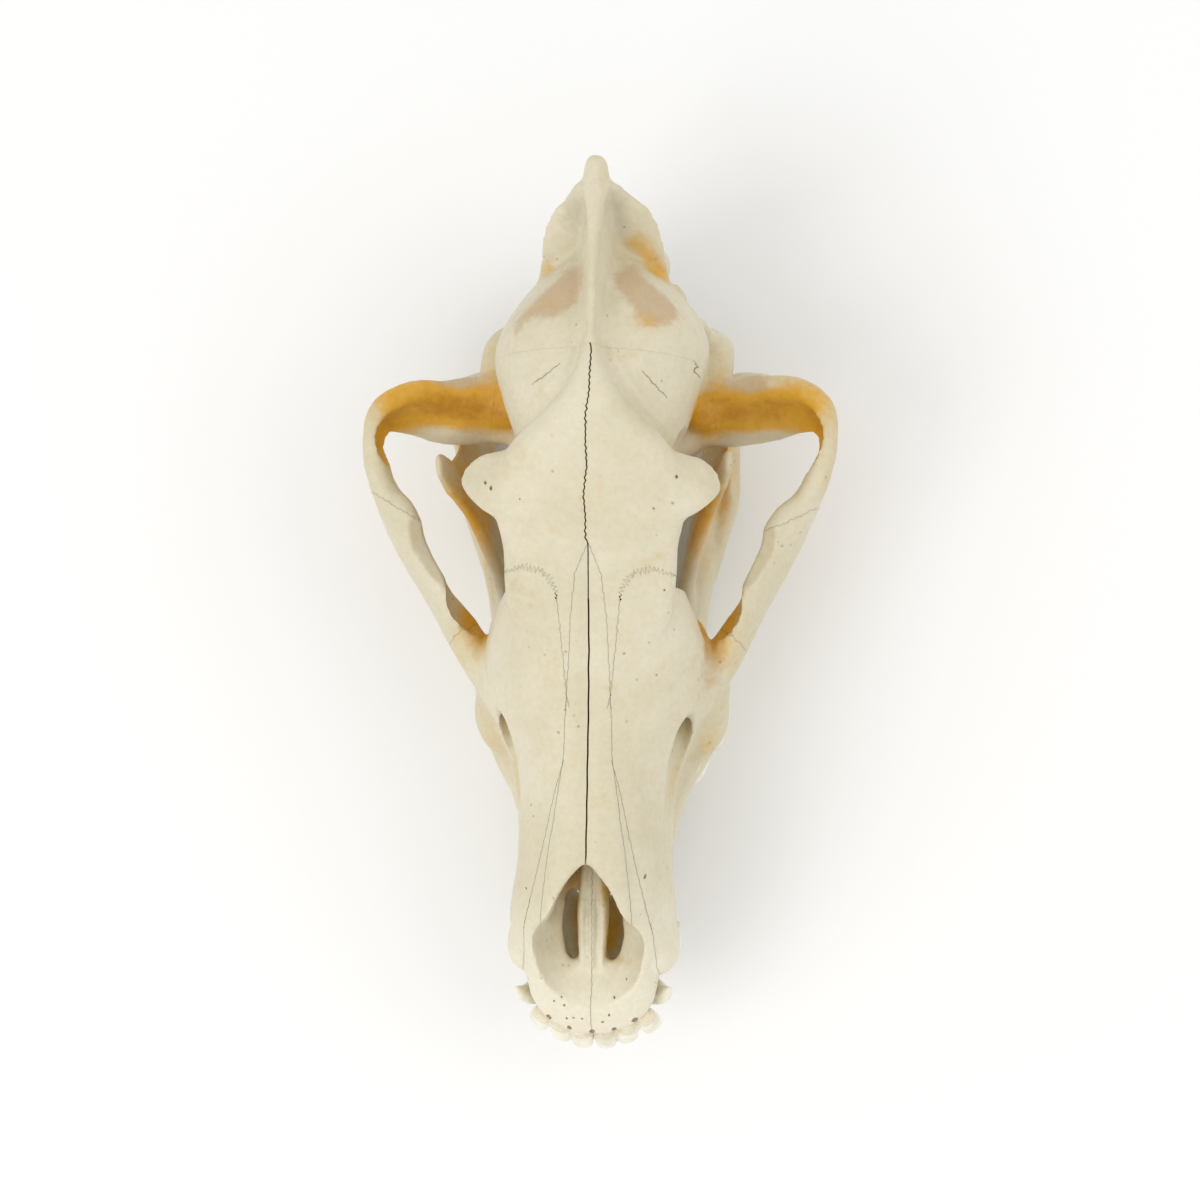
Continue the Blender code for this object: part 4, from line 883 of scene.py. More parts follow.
def pierce(obj):
    """Opens the small vessels' mouths."""
    drop = ball("pore", (0, 0, 0), (1, 1, 1), count=10)
    places = []
    sizes = []
    for x, y, radius, stretch in PORES:
        top = heights(obj, [(x, y)])
        if top:
            places.append(top[0])
            sizes.append((radius, radius * stretch, radius * 1.9))
    draw = np.random.default_rng(77)
    cutter = set_out("pores", drop, places, [(0, 0, draw.uniform(-0.8, 0.8)) for _ in places], sizes)
    bpy.data.objects.remove(drop)
    carve(obj, cutter)


# Stains of old bone, pink patches, and greyish patches that are partly painted shade: centre, radii and
# strength. The lone lists lie on one side and the others on both.
STAINS = (
    ((56, 188, 38), (18, 12, 14), 1.35), ((66, 177, 38), (6, 14, 7), 1.0),
    ((41, 188, 34), (14, 11, 13), 1.1), ((31, 187, 40), (7, 9, 16), 1.0),
    ((45, 197, 40), (7, 6, 12), -0.65), ((49, 182.5, 26), (13, 4.2, 10), -0.7),
    ((37, 181, 14), (15, 8, 8), 0.9), ((30, 136, 30), (16, 20, 14), 0.9),
    ((38, 120, 24), (7, 12, 11), 0.9), ((15.5, 226, 56), (4.5, 7, 10), 0.55),
    ((22, 170, 40), (14, 12, 16), 0.35), ((14, 145, 28), (14, 32, 16), 0.7),
    ((18, 226, 30), (16, 10, 18), 0.35), ((33.5, 204, 30), (6, 10, 8), 0.45),
    ((34, 88, 12), (7, 16, 8), 0.35), ((27, 76, 23), (5, 10, 7), 0.9),
)
LONE_STAINS = (
    ((11.5, 234.5, 67), (4, 5, 7), 0.4), ((14.5, 230.5, 63), (4, 6, 8), 0.4),
    ((18, 225, 57), (4.5, 7, 8), 0.4), ((16, 208, 77), (8, 5, 10), 0.4), ((-14, 214, 76), (5, 5, 8), 0.3),
)
JAW_STAINS = (
    ((40, 162, 14), (14, 30, 38), 0.95), ((36, 184, -14), (10, 14, 16), 0.4),
    ((0, 32, -16), (14, 24, 8), 0.8), ((45, 191, 6), (12, 8, 10), 0.6),
)
BLUSHES = (
    ((34, 190, 40), (7, 12, 12), 0.5), ((45, 197, 38), (9, 7, 12), 0.9), ((21, 131, 66), (9, 10, 9), 0.4),
)
LONE_BLUSHES = (
    ((-9, 221, 79), (8, 12, 14), 1.1), ((-15, 213, 75), (8, 7, 10), 0.8),
    ((-22, 206, 68), (4, 8, 10), 0.6), ((11, 223, 79), (8, 11, 14), 1.0),
    ((18, 213, 75), (9, 9, 12), 1.05), ((35, 112, 30), (8, 18, 18), 0.6),
)
# Greyish patches: the one at the back of the skull and the lone one along the crest are painted shade; the
# others are greyish tint.
GREYS_AND_SHADES = (((6, 240, 76), (7, 12, 14), 0.75), ((31, 163, 71), (8, 8, 6), 0.3))
LONE_GREYS_AND_SHADES = (
    ((6, 225, 86), (3, 24, 8), 0.6), ((20, 105, 60), (9, 26, 12), 0.45),
    ((-24, 212, 66), (4, 9, 10), 0.5),
)
SKULL_SPOTS = ((STAINS, LONE_STAINS), (BLUSHES, LONE_BLUSHES), (GREYS_AND_SHADES, LONE_GREYS_AND_SHADES))
JAW_SPOTS = ((JAW_STAINS, ()), ((), ()), ((), ()))


def ways(count):
    """Directions spread evenly over a ball."""
    made = []
    for i in range(count):
        z = 1 - (2 * i + 1) / count
        turn = math.pi * (3 - math.sqrt(5)) * i
        flat = math.sqrt(1 - z * z)
        made.append(Vector((flat * math.cos(turn), flat * math.sin(turn), z)))
    return made


def bake_hollow_shade(obj, coarse=2.2, reach=26.0):
    """Finds how closed in a bone is, from 0 in the open to 1, at points set about its surface; this paints
    shade into the bone's hollows.
    """
    rough = bpy.data.objects.new("rough", obj.data.copy())
    bpy.context.scene.collection.objects.link(rough)
    fuse(rough, coarse)
    walls = BVHTree.FromObject(rough, bpy.context.evaluated_depsgraph_get())
    points = KDTree(len(rough.data.vertices))
    closed = []
    fan = ways(26)
    for vertex in rough.data.vertices:
        start = vertex.co + vertex.normal * 0.7
        outward = [way for way in fan if way.dot(vertex.normal) > 0.1]
        closed.append(sum(1 for way in outward if walls.ray_cast(start, way, reach)[0]) / len(outward))
        points.insert(vertex.co, vertex.index)
    points.balance()
    bpy.data.objects.remove(rough)
    return points, closed


def hollow_shade_at(obj, hollow_shade_bake):
    """How closed in each vertex of a piece is, which paints shade into its hollows."""
    points, closed = hollow_shade_bake
    return np.array([np.mean([closed[i] for _, i, _ in points.find_n(v.co, 3)]) for v in obj.data.vertices])


def age_and_shade_colour(obj, grime, hollow_shade_bake, spots):
    """Stores at each point of a bone how stained it is, with painted shade added in its hollows, how pink,
    how grimy, and how greyish, partly painted shade.
    """
    co = coordinates(obj)
    folded = co.copy()
    folded[:, 0] = np.abs(folded[:, 0])
    hollow = np.clip((hollow_shade_at(obj, hollow_shade_bake) - 0.3) / 0.6, 0, 1)
    layers = []
    for both, lone in spots:
        value = np.zeros(len(co))
        for points, listed in ((folded, both), (co, lone)):
            for centre, radii, strength in listed:
                value += strength * near(points, centre, radii)
        layers.append(value)
    # Painted shade: closed-in hollows are tinted tan and orange through the first channel, on top of the real
    # stains there.
    layers[0] += 0.55 * hollow
    colour = np.clip(np.stack([layers[0], layers[1], grime, layers[2]], axis=1), 0, 1.6)
    layer = obj.data.color_attributes.new("Age", "FLOAT_COLOR", "POINT")
    layer.data.foreach_set("color", colour.astype(np.float32).ravel())


def marks(obj):
    """The places of an object's vertices, to tell later which ones a cut has added."""
    return {tuple(p) for p in np.round(coordinates(obj), 3)}


SUTURE_GRIME = 0.5
PIT_GRIME = 0.75


def grime_points(obj, plain, pitted, parted):
    """How grimy each vertex is: much in pits and cracks, less along the sutures, not at all elsewhere."""
    made = []
    for place in np.round(coordinates(obj), 3):
        spot = tuple(place)
        if spot in plain:
            made.append(0.0)
        elif spot in pitted:
            made.append(PIT_GRIME)
        else:
            made.append(0.0 if spot in parted else SUTURE_GRIME)
    return np.array(made)


def build_cranium(voxel):
    """The whole upper skull as one closed skin with its openings, without its teeth."""
    skull = gather("cranium", (snout, forehead, braincase, nape, skull_base),
                   (cheek, arch, brow_horn, nape_crest, neck_joint, base_parts))
    fuse(skull, voxel)
    soften(skull, 6)
    hollow = gather("hollow", (nostril, inner_nostril, brow_groove), (side_openings,))
    fuse(hollow, voxel)
    carve(hollow, gather("wall", (nose_wall,), ()))
    carve(skull, hollow)
    fuse(skull, voxel)
    soften(skull, 3)
    set_askew(skull)
    return skull


def build_jaw(voxel):
    jaw = gather("jaw", (chin,), (jaw_side,))
    fuse(jaw, voxel)
    soften(jaw, 6)
    carve(jaw, gather("hollow", (), (muscle_hollow,)))
    fuse(jaw, voxel)
    soften(jaw, 3)
    return jaw


def to_table():
    """From the skull's own axes in millimetres to its stand on the table in metres."""
    stand = Matrix.Rotation(-REST_TILT, 4, "X") @ Matrix.Translation((0, -BELLY_Y, -BELLY_Z))
    ground = Matrix.Translation((0, GROUND_Y, GROUND_Z))
    return Matrix.Diagonal((MM, MM, MM, 1)) @ ground @ stand


def finish_piece(obj, name, finish, turn=None):
    """Turns a piece onto the table, keeps it within the solids' box, and hands it to the frame."""
    obj.data.transform(to_table() @ turn if turn else to_table())
    place(obj, np.clip(coordinates(obj), *np.array(CAD_BOX)))
    obj.name = obj.data.name = name
    obj.data.materials.clear()
    obj.data.materials.append(finish)
    obj.data.shade_smooth()
    obj.data.set_sharp_from_angle(angle=math.radians(55))
    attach(obj, "root")
    return obj


def socket_value(node, name, value):
    node.inputs[name].default_value = value


def new_material(name):
    """A material with its node tree and its surface node."""
    made = bpy.data.materials.new(name)
    made.use_nodes = True
    return made, made.node_tree, made.node_tree.nodes["Principled BSDF"]


def noise_node(tree, coords, scale, detail, rough=0.55, distortion=0.0):
    node = tree.nodes.new("ShaderNodeTexNoise")
    socket_value(node, "Scale", scale)
    socket_value(node, "Detail", detail)
    socket_value(node, "Roughness", rough)
    socket_value(node, "Distortion", distortion)
    tree.links.new(coords, node.inputs["Vector"])
    return node.outputs["Fac"]


def ramp(tree, source, low, high, bottom=0.0, top=1.0):
    """A smooth step of a value between two levels."""
    node = tree.nodes.new("ShaderNodeMapRange")
    node.interpolation_type = "SMOOTHSTEP"
    for name, value in (("From Min", low), ("From Max", high), ("To Min", bottom), ("To Max", top)):
        socket_value(node, name, value)
    tree.links.new(source, node.inputs["Value"])
    return node.outputs["Result"]


def sums(tree, operation, first, second):
    """One sum of two values or outputs."""
    node = tree.nodes.new("ShaderNodeMath")
    node.operation = operation
    for slot, value in ((0, first), (1, second)):
        if isinstance(value, (int, float)):
            node.inputs[slot].default_value = value
        else:
            tree.links.new(value, node.inputs[slot])
    return node.outputs[0]


def blend(tree, factor, under, over, mode="MIX"):
    """Lays one colour over another."""
    node = tree.nodes.new("ShaderNodeMix")
    node.data_type = "RGBA"
    node.blend_type = mode
    node.clamp_factor = True
    for slot, value in ((0, factor), (6, under), (7, over)):
        if isinstance(value, (int, float)):
            node.inputs[slot].default_value = value
        elif isinstance(value, bpy.types.NodeSocket):
            tree.links.new(value, node.inputs[slot])
        else:
            node.inputs[slot].default_value = (*value, 1.0)
    return node.outputs[2]


def bump(tree, height, distance, strength, normal=None):
    node = tree.nodes.new("ShaderNodeBump")
    socket_value(node, "Distance", distance)
    socket_value(node, "Strength", strength)
    tree.links.new(height, node.inputs["Height"])
    if normal:
        tree.links.new(normal, node.inputs["Normal"])
    return node.outputs["Normal"]


def age_channels(tree):
    """The four values stored at each point of a piece, as outputs."""
    age = tree.nodes.new("ShaderNodeAttribute")
    age.attribute_name = "Age"
    parts = tree.nodes.new("ShaderNodeSeparateColor")
    tree.links.new(age.outputs["Color"], parts.inputs["Color"])
    return [parts.outputs[name] for name in ("Red", "Green", "Blue")] + [age.outputs["Alpha"]]


def bone_material(colours):
    """Dry bone: ivory, mottled, stained orange and tan in its hollows, partly as painted shade, lighter at
    the nose's front as a painted highlight, greyish in patches partly as painted shade, with fine pores and
    grain.
    """
    made, tree, surface = new_material("dry_bone")
    coords = tree.nodes.new("ShaderNodeTexCoord").outputs["Object"]
    stain_and_shade, blush, grime, grey_and_shade = age_channels(tree)
    broad = noise_node(tree, coords, 26, 3)
    patch = noise_node(tree, coords, 95, 5, 0.62, 0.6)
    fleck = noise_node(tree, coords, 520, 4, 0.7)
    colour = blend(tree, ramp(tree, broad, 0.35, 0.68), colours.ivory, colours.cream)
    spread = tree.nodes.new("ShaderNodeSeparateXYZ")
    tree.links.new(coords, spread.inputs["Vector"])
    # Painted highlight: the front of the nose is painted lighter, where the light falls on it.
    front = ramp(tree, spread.outputs["Y"], -0.075, -0.115, 0, 0.8)
    colour = blend(tree, front, colour, colours.front_highlight)
    colour = blend(tree, ramp(tree, patch, 0.55, 0.78, 0, 0.35), colour, colours.tan)
    # Tan where the first channel is low: stains, and painted shade in the hollows.
    colour = blend(tree, ramp(tree, stain_and_shade, 0.02, 0.5, 0, 0.6), colour, colours.tan)
    uneven = sums(tree, "ADD", sums(tree, "MULTIPLY", patch, 0.9), sums(tree, "MULTIPLY", fleck, 0.25))
    rosy = ramp(tree, sums(tree, "ADD", blush, uneven), 0.85, 1.25, 0, 0.8)
    colour = blend(tree, rosy, colour, colours.blush)
    # Greyish patches, partly painted shade at the back of the skull and along the crest.
    dull_and_shade = ramp(tree, sums(tree, "ADD", grey_and_shade, uneven), 0.85, 1.3, 0, 0.55)
    colour = blend(tree, dull_and_shade, colour, colours.grey_and_shade)
    # Orange and brown where the first channel is high: stains, and painted shade in the deepest hollows.
    orange = ramp(tree, sums(tree, "ADD", stain_and_shade, uneven), 0.78, 1.4, 0, 0.94)
    mottled = sums(tree, "MULTIPLY", uneven, 2.0)
    deep = ramp(tree, sums(tree, "ADD", stain_and_shade, mottled), 1.95, 3.0, 0, 0.8)
    colour = blend(tree, orange, colour, colours.stain_and_shade)
    colour = blend(tree, deep, colour, colours.deep_stain)
    colour = blend(tree, ramp(tree, grime, 0.1, 1.0, 0, 0.75), colour, colours.grime)
    speck = tree.nodes.new("ShaderNodeTexVoronoi")
    socket_value(speck, "Scale", 260)
    tree.links.new(coords, speck.inputs["Vector"])
    pick = ramp(tree, noise_node(tree, coords, 60, 2), 0.52, 0.66)
    dots = sums(tree, "MULTIPLY", ramp(tree, speck.outputs["Distance"], 0.16, 0.06), pick)
    colour = blend(tree, sums(tree, "MULTIPLY", dots, 0.55), colour, colours.grime)
    grain = ramp(tree, fleck, 0.3, 0.75, 0.0, 0.16)
    colour = blend(tree, grain, colour, colours.tan, "MULTIPLY")
    tree.links.new(colour, surface.inputs["Base Color"])
    tree.links.new(ramp(tree, patch, 0.2, 0.8, 0.42, 0.6), surface.inputs["Roughness"])
    normal = bump(tree, dots, 0.0002, 0.5)
    normal = bump(tree, fleck, 0.00022, 0.35, normal)
    normal = bump(tree, patch, 0.0006, 0.35, normal)
    tree.links.new(normal, surface.inputs["Normal"])
    socket_value(surface, "Specular IOR Level", 0.42)
    socket_value(surface, "Subsurface Weight", 0.12)
    socket_value(surface, "Subsurface Radius", (0.004, 0.0026, 0.0014))
    socket_value(surface, "Subsurface Scale", 0.6)
    return made


def enamel_material(colours):
    """Tooth enamel: creamy and glossy, stained brown towards the gum."""
    made, tree, surface = new_material("enamel")
    coords = tree.nodes.new("ShaderNodeTexCoord").outputs["Object"]
    closeness = age_channels(tree)[0]
    patch = noise_node(tree, coords, 180, 4, 0.6, 0.8)
    streak = noise_node(tree, coords, 900, 3)
    neck = ramp(tree, sums(tree, "ADD", closeness, sums(tree, "MULTIPLY", patch, 0.5)), 0.55, 1.15, 0, 0.4)
    colour = blend(tree, ramp(tree, patch, 0.35, 0.75), colours.enamel, colours.cream)
    colour = blend(tree, neck, colour, colours.tan)
    tree.links.new(colour, surface.inputs["Base Color"])
    tree.links.new(ramp(tree, patch, 0.3, 0.8, 0.18, 0.34), surface.inputs["Roughness"])
    tree.links.new(bump(tree, streak, 0.0001, 0.25), surface.inputs["Normal"])
    socket_value(surface, "Coat Weight", 0.25)
    socket_value(surface, "Coat Roughness", 0.12)
    socket_value(surface, "Subsurface Weight", 0.15)
    socket_value(surface, "Subsurface Radius", (0.003, 0.002, 0.0012))
    socket_value(surface, "Subsurface Scale", 0.5)
    return made


def plain_material(name, colour, roughness):
    made, _, surface = new_material(name)
    socket_value(surface, "Base Color", (*colour, 1.0))
    socket_value(surface, "Roughness", roughness)
    return made


# The levels of the teeth's necks, in millimetres.
UPPER_NECK_Z = 0.0
FRONT_NECK_Z = 1.0
LOWER_NECK_Z = -11.0
LOWER_CANINE_NECK_Z = -10.0
# Each point of a cheek tooth: foot, tip, half length along the row, half width, bearing of the row.
UPPER_CHEEK_TEETH = (
    ((20.0, 39.5, 0), (20.2, 39.5, -4.8), 3.2, 2.3, 2),
    ((20.4, 51.5, 0), (20.6, 50.5, -7.2), 6.2, 2.8, 2),
    ((20.4, 55.5, 0), (20.5, 55.6, -3.2), 2.4, 2.2, 2),
    ((21.8, 66.0, 0), (22.2, 65.0, -8.4), 7.2, 3.0, 8),
    ((22.0, 71.0, 0), (22.1, 71.0, -4.6), 2.6, 2.4, 8),
    ((28.6, 82.5, 0), (29.2, 83.0, -13.0), 8.0, 3.9, 30),
    ((35.0, 93.0, 0), (35.4, 94.0, -9.5), 5.6, 3.6, 26),
    ((24.0, 77.5, 0), (23.8, 77.5, -3.8), 3.0, 2.8, 24),
    ((36.2, 101.5, 0), (36.0, 102.0, -7.0), 4.4, 4.2, 0),
    ((35.0, 108.5, 0), (34.8, 108.5, -5.6), 4.0, 4.0, -10),
    ((28.6, 105.5, 0), (28.0, 105.5, -3.4), 5.6, 5.4, 0),
    ((30.6, 115.0, 1.5), (30.4, 115.2, -3.0), 3.8, 3.6, -12),
    ((25.6, 115.0, 1.5), (25.4, 115.2, -1.8), 3.6, 4.0, 0),
)
LOWER_CHEEK_TEETH = (
    ((14.6, 31.0, -12), (14.6, 30.6, -8.4), 2.5, 2.0, 6),
    ((15.8, 42.5, -12), (15.8, 41.5, -6.4), 5.4, 2.5, 6),
    ((16.8, 55.5, -11.5), (16.8, 54.6, -5.2), 6.2, 2.8, 8),
    ((17.2, 69.0, -11), (16.9, 68.6, -5.2), 6.6, 2.6, 10),
    ((20.0, 82.0, -10.5), (19.8, 82.0, -4.4), 5.4, 3.2, 14),
    ((22.6, 90.5, -10.5), (22.3, 90.5, -2.4), 5.8, 3.6, 18),
    ((26.0, 101.0, -10.5), (25.8, 101.0, -6.4), 6.0, 4.0, 14),
    ((28.2, 111.5, -10.5), (28.0, 111.5, -7.2), 5.4, 3.8, 12),
    ((29.2, 119.6, -10), (29.1, 119.6, -8.0), 2.5, 2.3, 12),
)
# Front teeth: foot, tip, half length, half width, bearing, for the left side.
UPPER_FRONT_TEETH = (
    ((3.5, 1.4, 1.5), (3.6, -4.4, -6.5), 3.4, 3.0, 88, CUTTING, 4.0),
    ((10.0, 3.2, 1.5), (10.6, -2.4, -7.0), 3.5, 3.1, 70, CUTTING, 4.0),
    ((15.6, 5.6, 1.5), (18.4, 1.6, -9.0), 3.6, 3.0, 48, CUTTING, 4.0),
)
LOWER_FRONT_TEETH = (
    ((2.3, 8.5, -11), (2.4, 5.6, -4.4), 2.0, 2.2, 88, CUTTING),
    ((6.3, 9.5, -11), (6.8, 7.0, -4.0), 2.4, 2.5, 78, CUTTING),
    ((10.2, 11.5, -11), (11.4, 9.6, -3.6), 2.6, 2.6, 60, CUTTING),
)


def cusps(name, rows):
    """A function that makes every point in a list of teeth."""
    def make():
        for i, sizes in enumerate(rows):
            cusp(f"{name}_{i}", *sizes)
    return make


def upper_canine():
    tooth("upper_canine", [(16, 19.8, 30, 4.0, 3.0), (4, 20.4, 26.5, 5.6, 3.4), (0, 20.4, 26.0, 6.6, 4.0),
                           (-9, 21.5, 26.6, 5.8, 3.7), (-18, 23.2, 29.2, 3.7, 2.8),
                           (-24, 23.8, 32.4, 1.7, 1.4), (-26.5, 24.0, 34.0, 0.6, 0.6)], 4, count=20)


def lower_canine():
    tooth("lower_canine", [(-24, 10.5, 22, 4.0, 3.4), (-14, 13.2, 14.8, 5.2, 4.2),
                           (-9, 15.3, 13.6, 5.0, 4.0), (-3, 18.6, 12.3, 4.1, 3.3),
                           (2, 21.3, 11.9, 2.9, 2.6), (6, 23.1, 13.0, 1.5, 1.4),
                           (8, 23.7, 14.0, 0.5, 0.5)], 30, count=20)


def tooth_colour(obj, neck_z, sign):
    """Stores how near its neck each point of a tooth is."""
    co = coordinates(obj)
    reach = (co[:, 2] - neck_z) * sign
    neck = np.clip(1.0 - reach / 1.8, 0, 1)
    colour = np.stack([neck, np.zeros(len(co)), np.zeros(len(co)), np.ones(len(co))], axis=1)
    layer = obj.data.color_attributes.new("Age", "FLOAT_COLOR", "POINT")
    layer.data.foreach_set("color", colour.astype(np.float32).ravel())


def teeth(name, maker, finish, neck_z, sign, turn=None, voxel=0.4):
    """One side's teeth and their mirror images, as two pieces."""
    pair = gather(name, (), (maker,))
    fuse(pair, voxel)
    soften(pair, 2)
    tooth_colour(pair, neck_z, sign)
    halves = []
    for side, keep in (("left", 1), ("right", -1)):
        half = bmesh.new()
        half.from_mesh(pair.data)
        gone = [v for v in half.verts if v.co.x * keep < 0]
        bmesh.ops.delete(half, geom=gone, context="VERTS")
        made = add_object(f"{name}_{side}", half)
        halves.append(finish_piece(made, f"{name}_{side}", finish, turn))
    bpy.data.objects.remove(pair)
    return halves


def colour_property(name, description, default):
    return FloatVectorProperty(name=name, description=description, subtype="COLOR", size=3, min=0, max=1,
                               default=default)


class BoneColours(PropertyGroup):
    """Colours of the dry bone and the teeth."""

    ivory: colour_property("Ivory", "The bone's main colour", (0.645, 0.59, 0.425))
    cream: colour_property("Cream", "The bone's lighter colour", (0.71, 0.66, 0.51))
    # Painted highlight: the lighter colour painted on the front of the nose.
    front_highlight: colour_property("Pale", "The bleached front of the nose", (0.82, 0.775, 0.62))
    tan: colour_property("Tan", "The bone's warm mottling", (0.62, 0.475, 0.225))
    # Orange of stains, also painted as shade in the bone's hollows.
    stain_and_shade: colour_property("Stain", "Orange stain in the hollows", (0.69, 0.365, 0.014))
    deep_stain: colour_property("Deep Stain", "Brown of the deepest hollows", (0.45, 0.19, 0.005))
    blush: colour_property("Blush", "Pinkish tan patches", (0.54, 0.39, 0.225))
    # Greyish colour, partly painted shade at the back of the skull and along the crest.
    grey_and_shade: colour_property("Grey", "Weathered grey by the crest", (0.53, 0.485, 0.38))
    grime: colour_property("Grime", "Dirt in the sutures and pores", (0.27, 0.165, 0.055))
    enamel: colour_property("Enamel", "The teeth", (0.86, 0.82, 0.68))


class BoneSizes(PropertyGroup):
    """How fine the bones are made."""

    grain: FloatProperty(name="Grain", description="Fineness of the bones' surface", subtype="DISTANCE",
                         unit="LENGTH", min=0.0006, max=0.003, default=0.0008)
    tooth_grain: FloatProperty(name="Tooth Grain", description="Fineness of the teeth's surface",
                               subtype="DISTANCE", unit="LENGTH", min=0.0003, max=0.002, default=0.0004)


class StageLook(PropertyGroup):
    """The floor and the light."""

    floor: colour_property("Floor", "The floor's colour", (0.90, 0.90, 0.89))
    key: FloatProperty(name="Key Light", description="Power of the large soft light", unit="POWER", min=0,
                       default=4.3)


class SKULL_OT_bones(Operator):
    """Builds the upper skull and parts it along its sutures into its bones"""

    bl_idname = "wolf_skull.bones"
    bl_label = "Skull Bones"

    def execute(self, context):
        voxel = context.scene.bone_sizes.grain / MM
        finish = bone_finish(context)
        skull = build_cranium(voxel)
        weather(skull)
        hollow_shade_bake = bake_hollow_shade(skull)
        plain = marks(skull)
        for i, crack in enumerate(CRACKS):
            scratch(skull, f"crack_{i}", *crack, seed=60 + i)
        pierce(skull)
        pitted = marks(skull)
        part_along(skull, (quiet_middle,), (quiet_sides,))
        parted = marks(skull)
        part_along(skull, (bold_middle,), (bold_sides,))
        bones = name_pieces(loose(skull), MIDDLE_BONES | both_sides(PAIRED_BONES))
        for name, bone in bones.items():
            age_and_shade_colour(bone, grime_points(bone, plain, pitted, parted), hollow_shade_bake, SKULL_SPOTS)
            finish_piece(bone, f"{name}_bone", finish)
            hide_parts(name)
        return {"FINISHED"}


class SKULL_OT_jaws(Operator):
    """Builds the two halves of the lower jaw"""

    bl_idname = "wolf_skull.jaws"
    bl_label = "Lower Jaw"

    def execute(self, context):
        voxel = context.scene.bone_sizes.grain / MM
        finish = bone_finish(context)
        jaw = build_jaw(voxel)
        weather(jaw)
        hollow_shade_bake = bake_hollow_shade(jaw)
        plain = marks(jaw)
        carve(jaw, seam("jaw_line", ((0, -20), (0, 80)), -80, 60, width=0.3, reach=0.2, step=1.4, seed=41))
        bones = name_pieces(loose(jaw), both_sides(PAIRED_JAWS))
        for name, bone in bones.items():
            age_and_shade_colour(bone, grime_points(bone, plain, plain, plain), hollow_shade_bake, JAW_SPOTS)
            finish_piece(bone, f"{name}_bone", finish, turned_jaw())
            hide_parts(name)
        return {"FINISHED"}


class SKULL_OT_upper_teeth(Operator):
    """Sets the upper teeth"""

    bl_idname = "wolf_skull.upper_teeth"
    bl_label = "Upper Teeth"

    def execute(self, context):
        voxel = context.scene.bone_sizes.tooth_grain / MM
        finish = tooth_finish(context)
        teeth("upper_cheek_teeth", cusps("upper_cusp", UPPER_CHEEK_TEETH), finish, UPPER_NECK_Z, -1,
              voxel=voxel)
        teeth("upper_canine", upper_canine, finish, UPPER_NECK_Z, -1, voxel=voxel)
        teeth("upper_front_teeth", cusps("upper_front", UPPER_FRONT_TEETH), finish, FRONT_NECK_Z, -1,
              voxel=voxel)
        return {"FINISHED"}


class SKULL_OT_lower_teeth(Operator):
    """Sets the lower teeth"""

    bl_idname = "wolf_skull.lower_teeth"
    bl_label = "Lower Teeth"

    def execute(self, context):
        voxel = context.scene.bone_sizes.tooth_grain / MM
        finish = tooth_finish(context)
        turn = turned_jaw()
        teeth("lower_cheek_teeth", cusps("lower_cusp", LOWER_CHEEK_TEETH), finish, LOWER_NECK_Z, 1, turn,
              voxel)
        teeth("lower_canine", lower_canine, finish, LOWER_CANINE_NECK_Z, 1, turn, voxel)
        teeth("lower_front_teeth", cusps("lower_front", LOWER_FRONT_TEETH), finish, LOWER_NECK_Z, 1, turn,
              voxel)
        return {"FINISHED"}


def bone_finish(context):
    return bpy.data.materials.get("dry_bone") or bone_material(context.scene.bone_colours)


def tooth_finish(context):
    return bpy.data.materials.get("enamel") or enamel_material(context.scene.bone_colours)


# The camera looks almost straight down at the skull from this far above the table. The arches are this
# wide in life and in the picture, at this height above the table.
CAMERA_HEIGHT = 0.850
ARCH_WIDTH = 0.143
ARCH_HEIGHT = 0.068
ARCH_WIDTH_PIXELS = 472
CAMERA_ROLL = math.radians(4.5)
CAMERA_YAW = math.radians(1.2)
CAMERA_TARGET = (0.0005, 0.0266, 0.066)
FOCAL_PIXELS = ARCH_WIDTH_PIXELS / ARCH_WIDTH * (CAMERA_HEIGHT - ARCH_HEIGHT)
PICTURE_PIXELS = 1200
SENSOR_MM = 36.0


def add_camera():
    back = Vector((math.sin(CAMERA_ROLL), 0, math.cos(CAMERA_ROLL)))
    right = Vector((0, 1, 0)).cross(back).normalized()
    up = back.cross(right)
    c, s = math.cos(CAMERA_YAW), math.sin(CAMERA_YAW)
    right, up = right * c + up * s, up * c - right * s
    target = Vector(CAMERA_TARGET) + Vector((0, GROUND_Y, GROUND_Z)) * MM
    spot = target + back * (CAMERA_HEIGHT - CAMERA_TARGET[2])
    data = bpy.data.cameras.new("camera")
    data.sensor_width = SENSOR_MM
    data.lens = FOCAL_PIXELS / PICTURE_PIXELS * SENSOR_MM
    data.clip_start = 0.01
    camera = bpy.data.objects.new("camera", data)
    turn = Matrix((right, up, back)).transposed()
    camera.matrix_world = Matrix.Translation(spot) @ turn.to_4x4()
    bpy.context.scene.collection.objects.link(camera)
    bpy.context.scene.camera = camera


# Places and sizes of the two soft lights, in metres, and how strong the second and the sky are.
LIGHT_AIM = (0, 0, 0.05)
KEY_SPOT = (-0.6, -0.4, 1.05)
KEY_SIZE = 0.7
FILL_SPOT = (0.8, 0.2, 0.9)
FILL_SIZE = 0.9
FILL_SHARE = 0.5
SKY_STRENGTH = 0.85
FLOOR_HALF = 3.0


def add_light(name, spot, power, size):
    data = bpy.data.lights.new(name, "AREA")
    data.energy = power
    data.size = size
    light = bpy.data.objects.new(name, data)
    light.location = spot
    light.rotation_euler = (Vector(LIGHT_AIM) - Vector(spot)).to_track_quat("-Z", "Y").to_euler()
    bpy.context.scene.collection.objects.link(light)


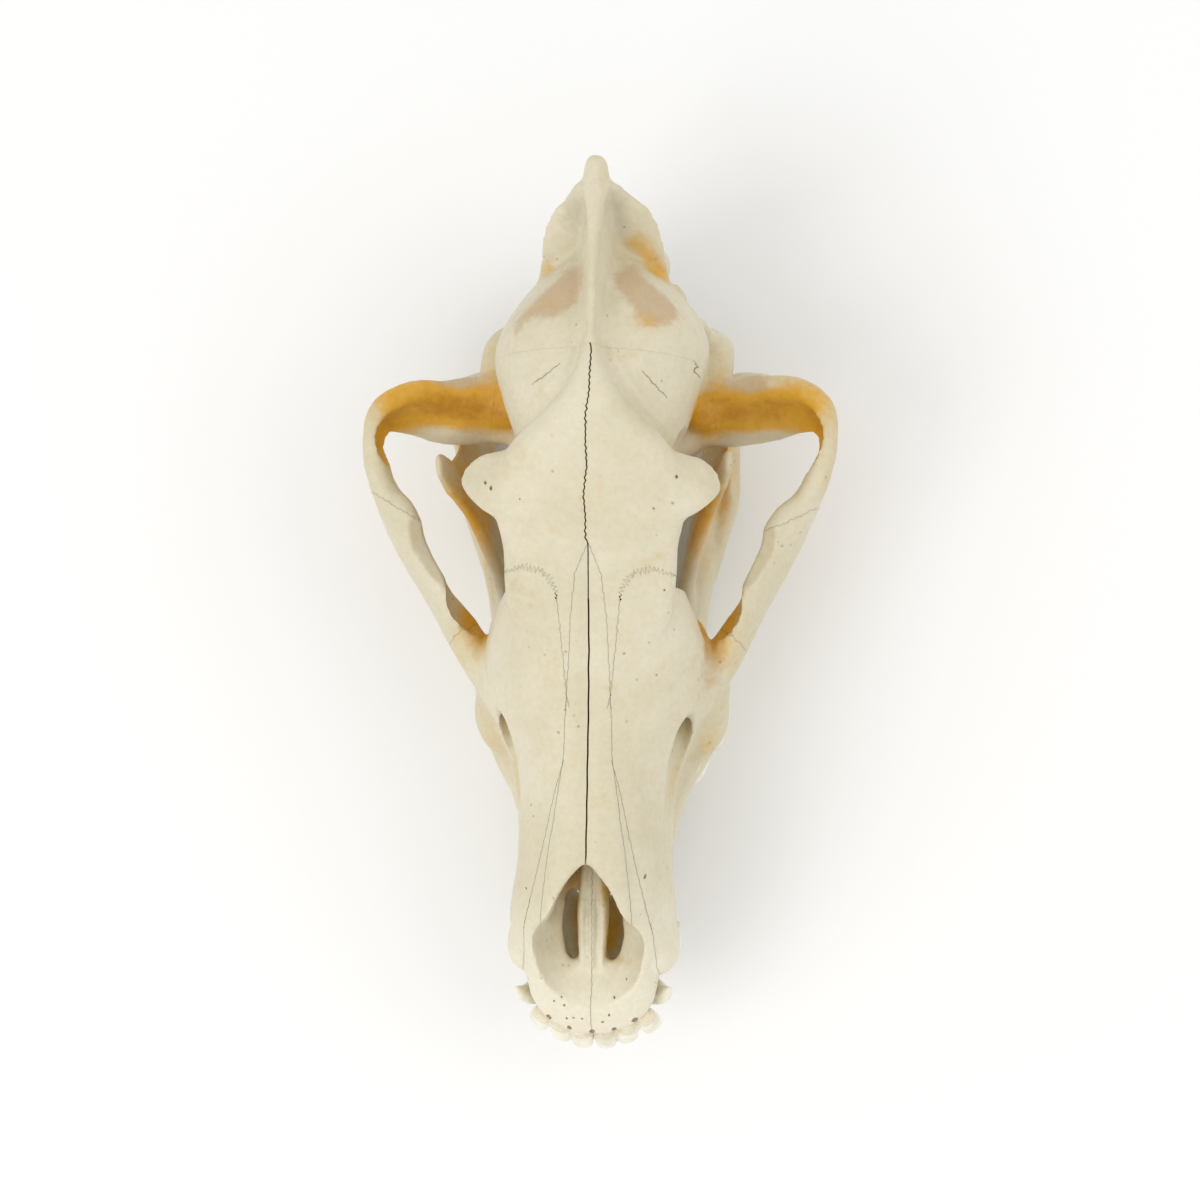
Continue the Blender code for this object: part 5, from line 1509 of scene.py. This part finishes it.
class SKULL_OT_stage(Operator):
    """Adds the floor, the lights and the camera"""

    bl_idname = "wolf_skull.stage"
    bl_label = "Floor, Light and Camera"

    def execute(self, context):
        look = context.scene.stage_look
        shape = bmesh.new()
        bmesh.ops.create_grid(shape, x_segments=1, y_segments=1, size=FLOOR_HALF)
        floor = add_object("floor", shape)
        floor.data.materials.append(plain_material("floor_paint", look.floor, 0.9))
        add_light("key", KEY_SPOT, look.key, KEY_SIZE)
        add_light("fill", FILL_SPOT, look.key * FILL_SHARE, FILL_SIZE)
        world = bpy.data.worlds.new("studio")
        world.use_nodes = True
        sky = world.node_tree.nodes["Background"]
        socket_value(sky, "Color", (1, 1, 1, 1))
        socket_value(sky, "Strength", SKY_STRENGTH)
        context.scene.world = world
        context.scene.view_settings.view_transform = "Standard"
        add_camera()
        return {"FINISHED"}


class SKULL_PT_panel(Panel):
    """Lists the steps that build the skull"""

    bl_label = "Wolf Skull"
    bl_idname = "SKULL_PT_panel"
    bl_space_type = "VIEW_3D"
    bl_region_type = "UI"
    bl_category = "Wolf Skull"

    def draw(self, context):
        for step in STEPS:
            self.layout.operator(step.bl_idname)
        for group in (context.scene.bone_sizes, context.scene.bone_colours, context.scene.stage_look):
            for name in group.__annotations__:
                self.layout.prop(group, name)


STEPS = (SKULL_OT_bones, SKULL_OT_jaws, SKULL_OT_upper_teeth, SKULL_OT_lower_teeth, SKULL_OT_stage)
GROUPS = (("bone_colours", BoneColours), ("bone_sizes", BoneSizes), ("stage_look", StageLook))


def register():
    for name, group in GROUPS:
        bpy.utils.register_class(group)
        setattr(bpy.types.Scene, name, PointerProperty(type=group))
    for step in STEPS:
        bpy.utils.register_class(step)
    bpy.utils.register_class(SKULL_PT_panel)


def unregister():
    bpy.utils.unregister_class(SKULL_PT_panel)
    for step in reversed(STEPS):
        bpy.utils.unregister_class(step)
    for name, group in reversed(GROUPS):
        delattr(bpy.types.Scene, name)
        bpy.utils.unregister_class(group)


def main():
    register()
    bpy.ops.wolf_skull.bones()
    bpy.ops.wolf_skull.jaws()
    bpy.ops.wolf_skull.upper_teeth()
    bpy.ops.wolf_skull.lower_teeth()
    bpy.ops.wolf_skull.stage()


if __name__ == "__main__":
    main()
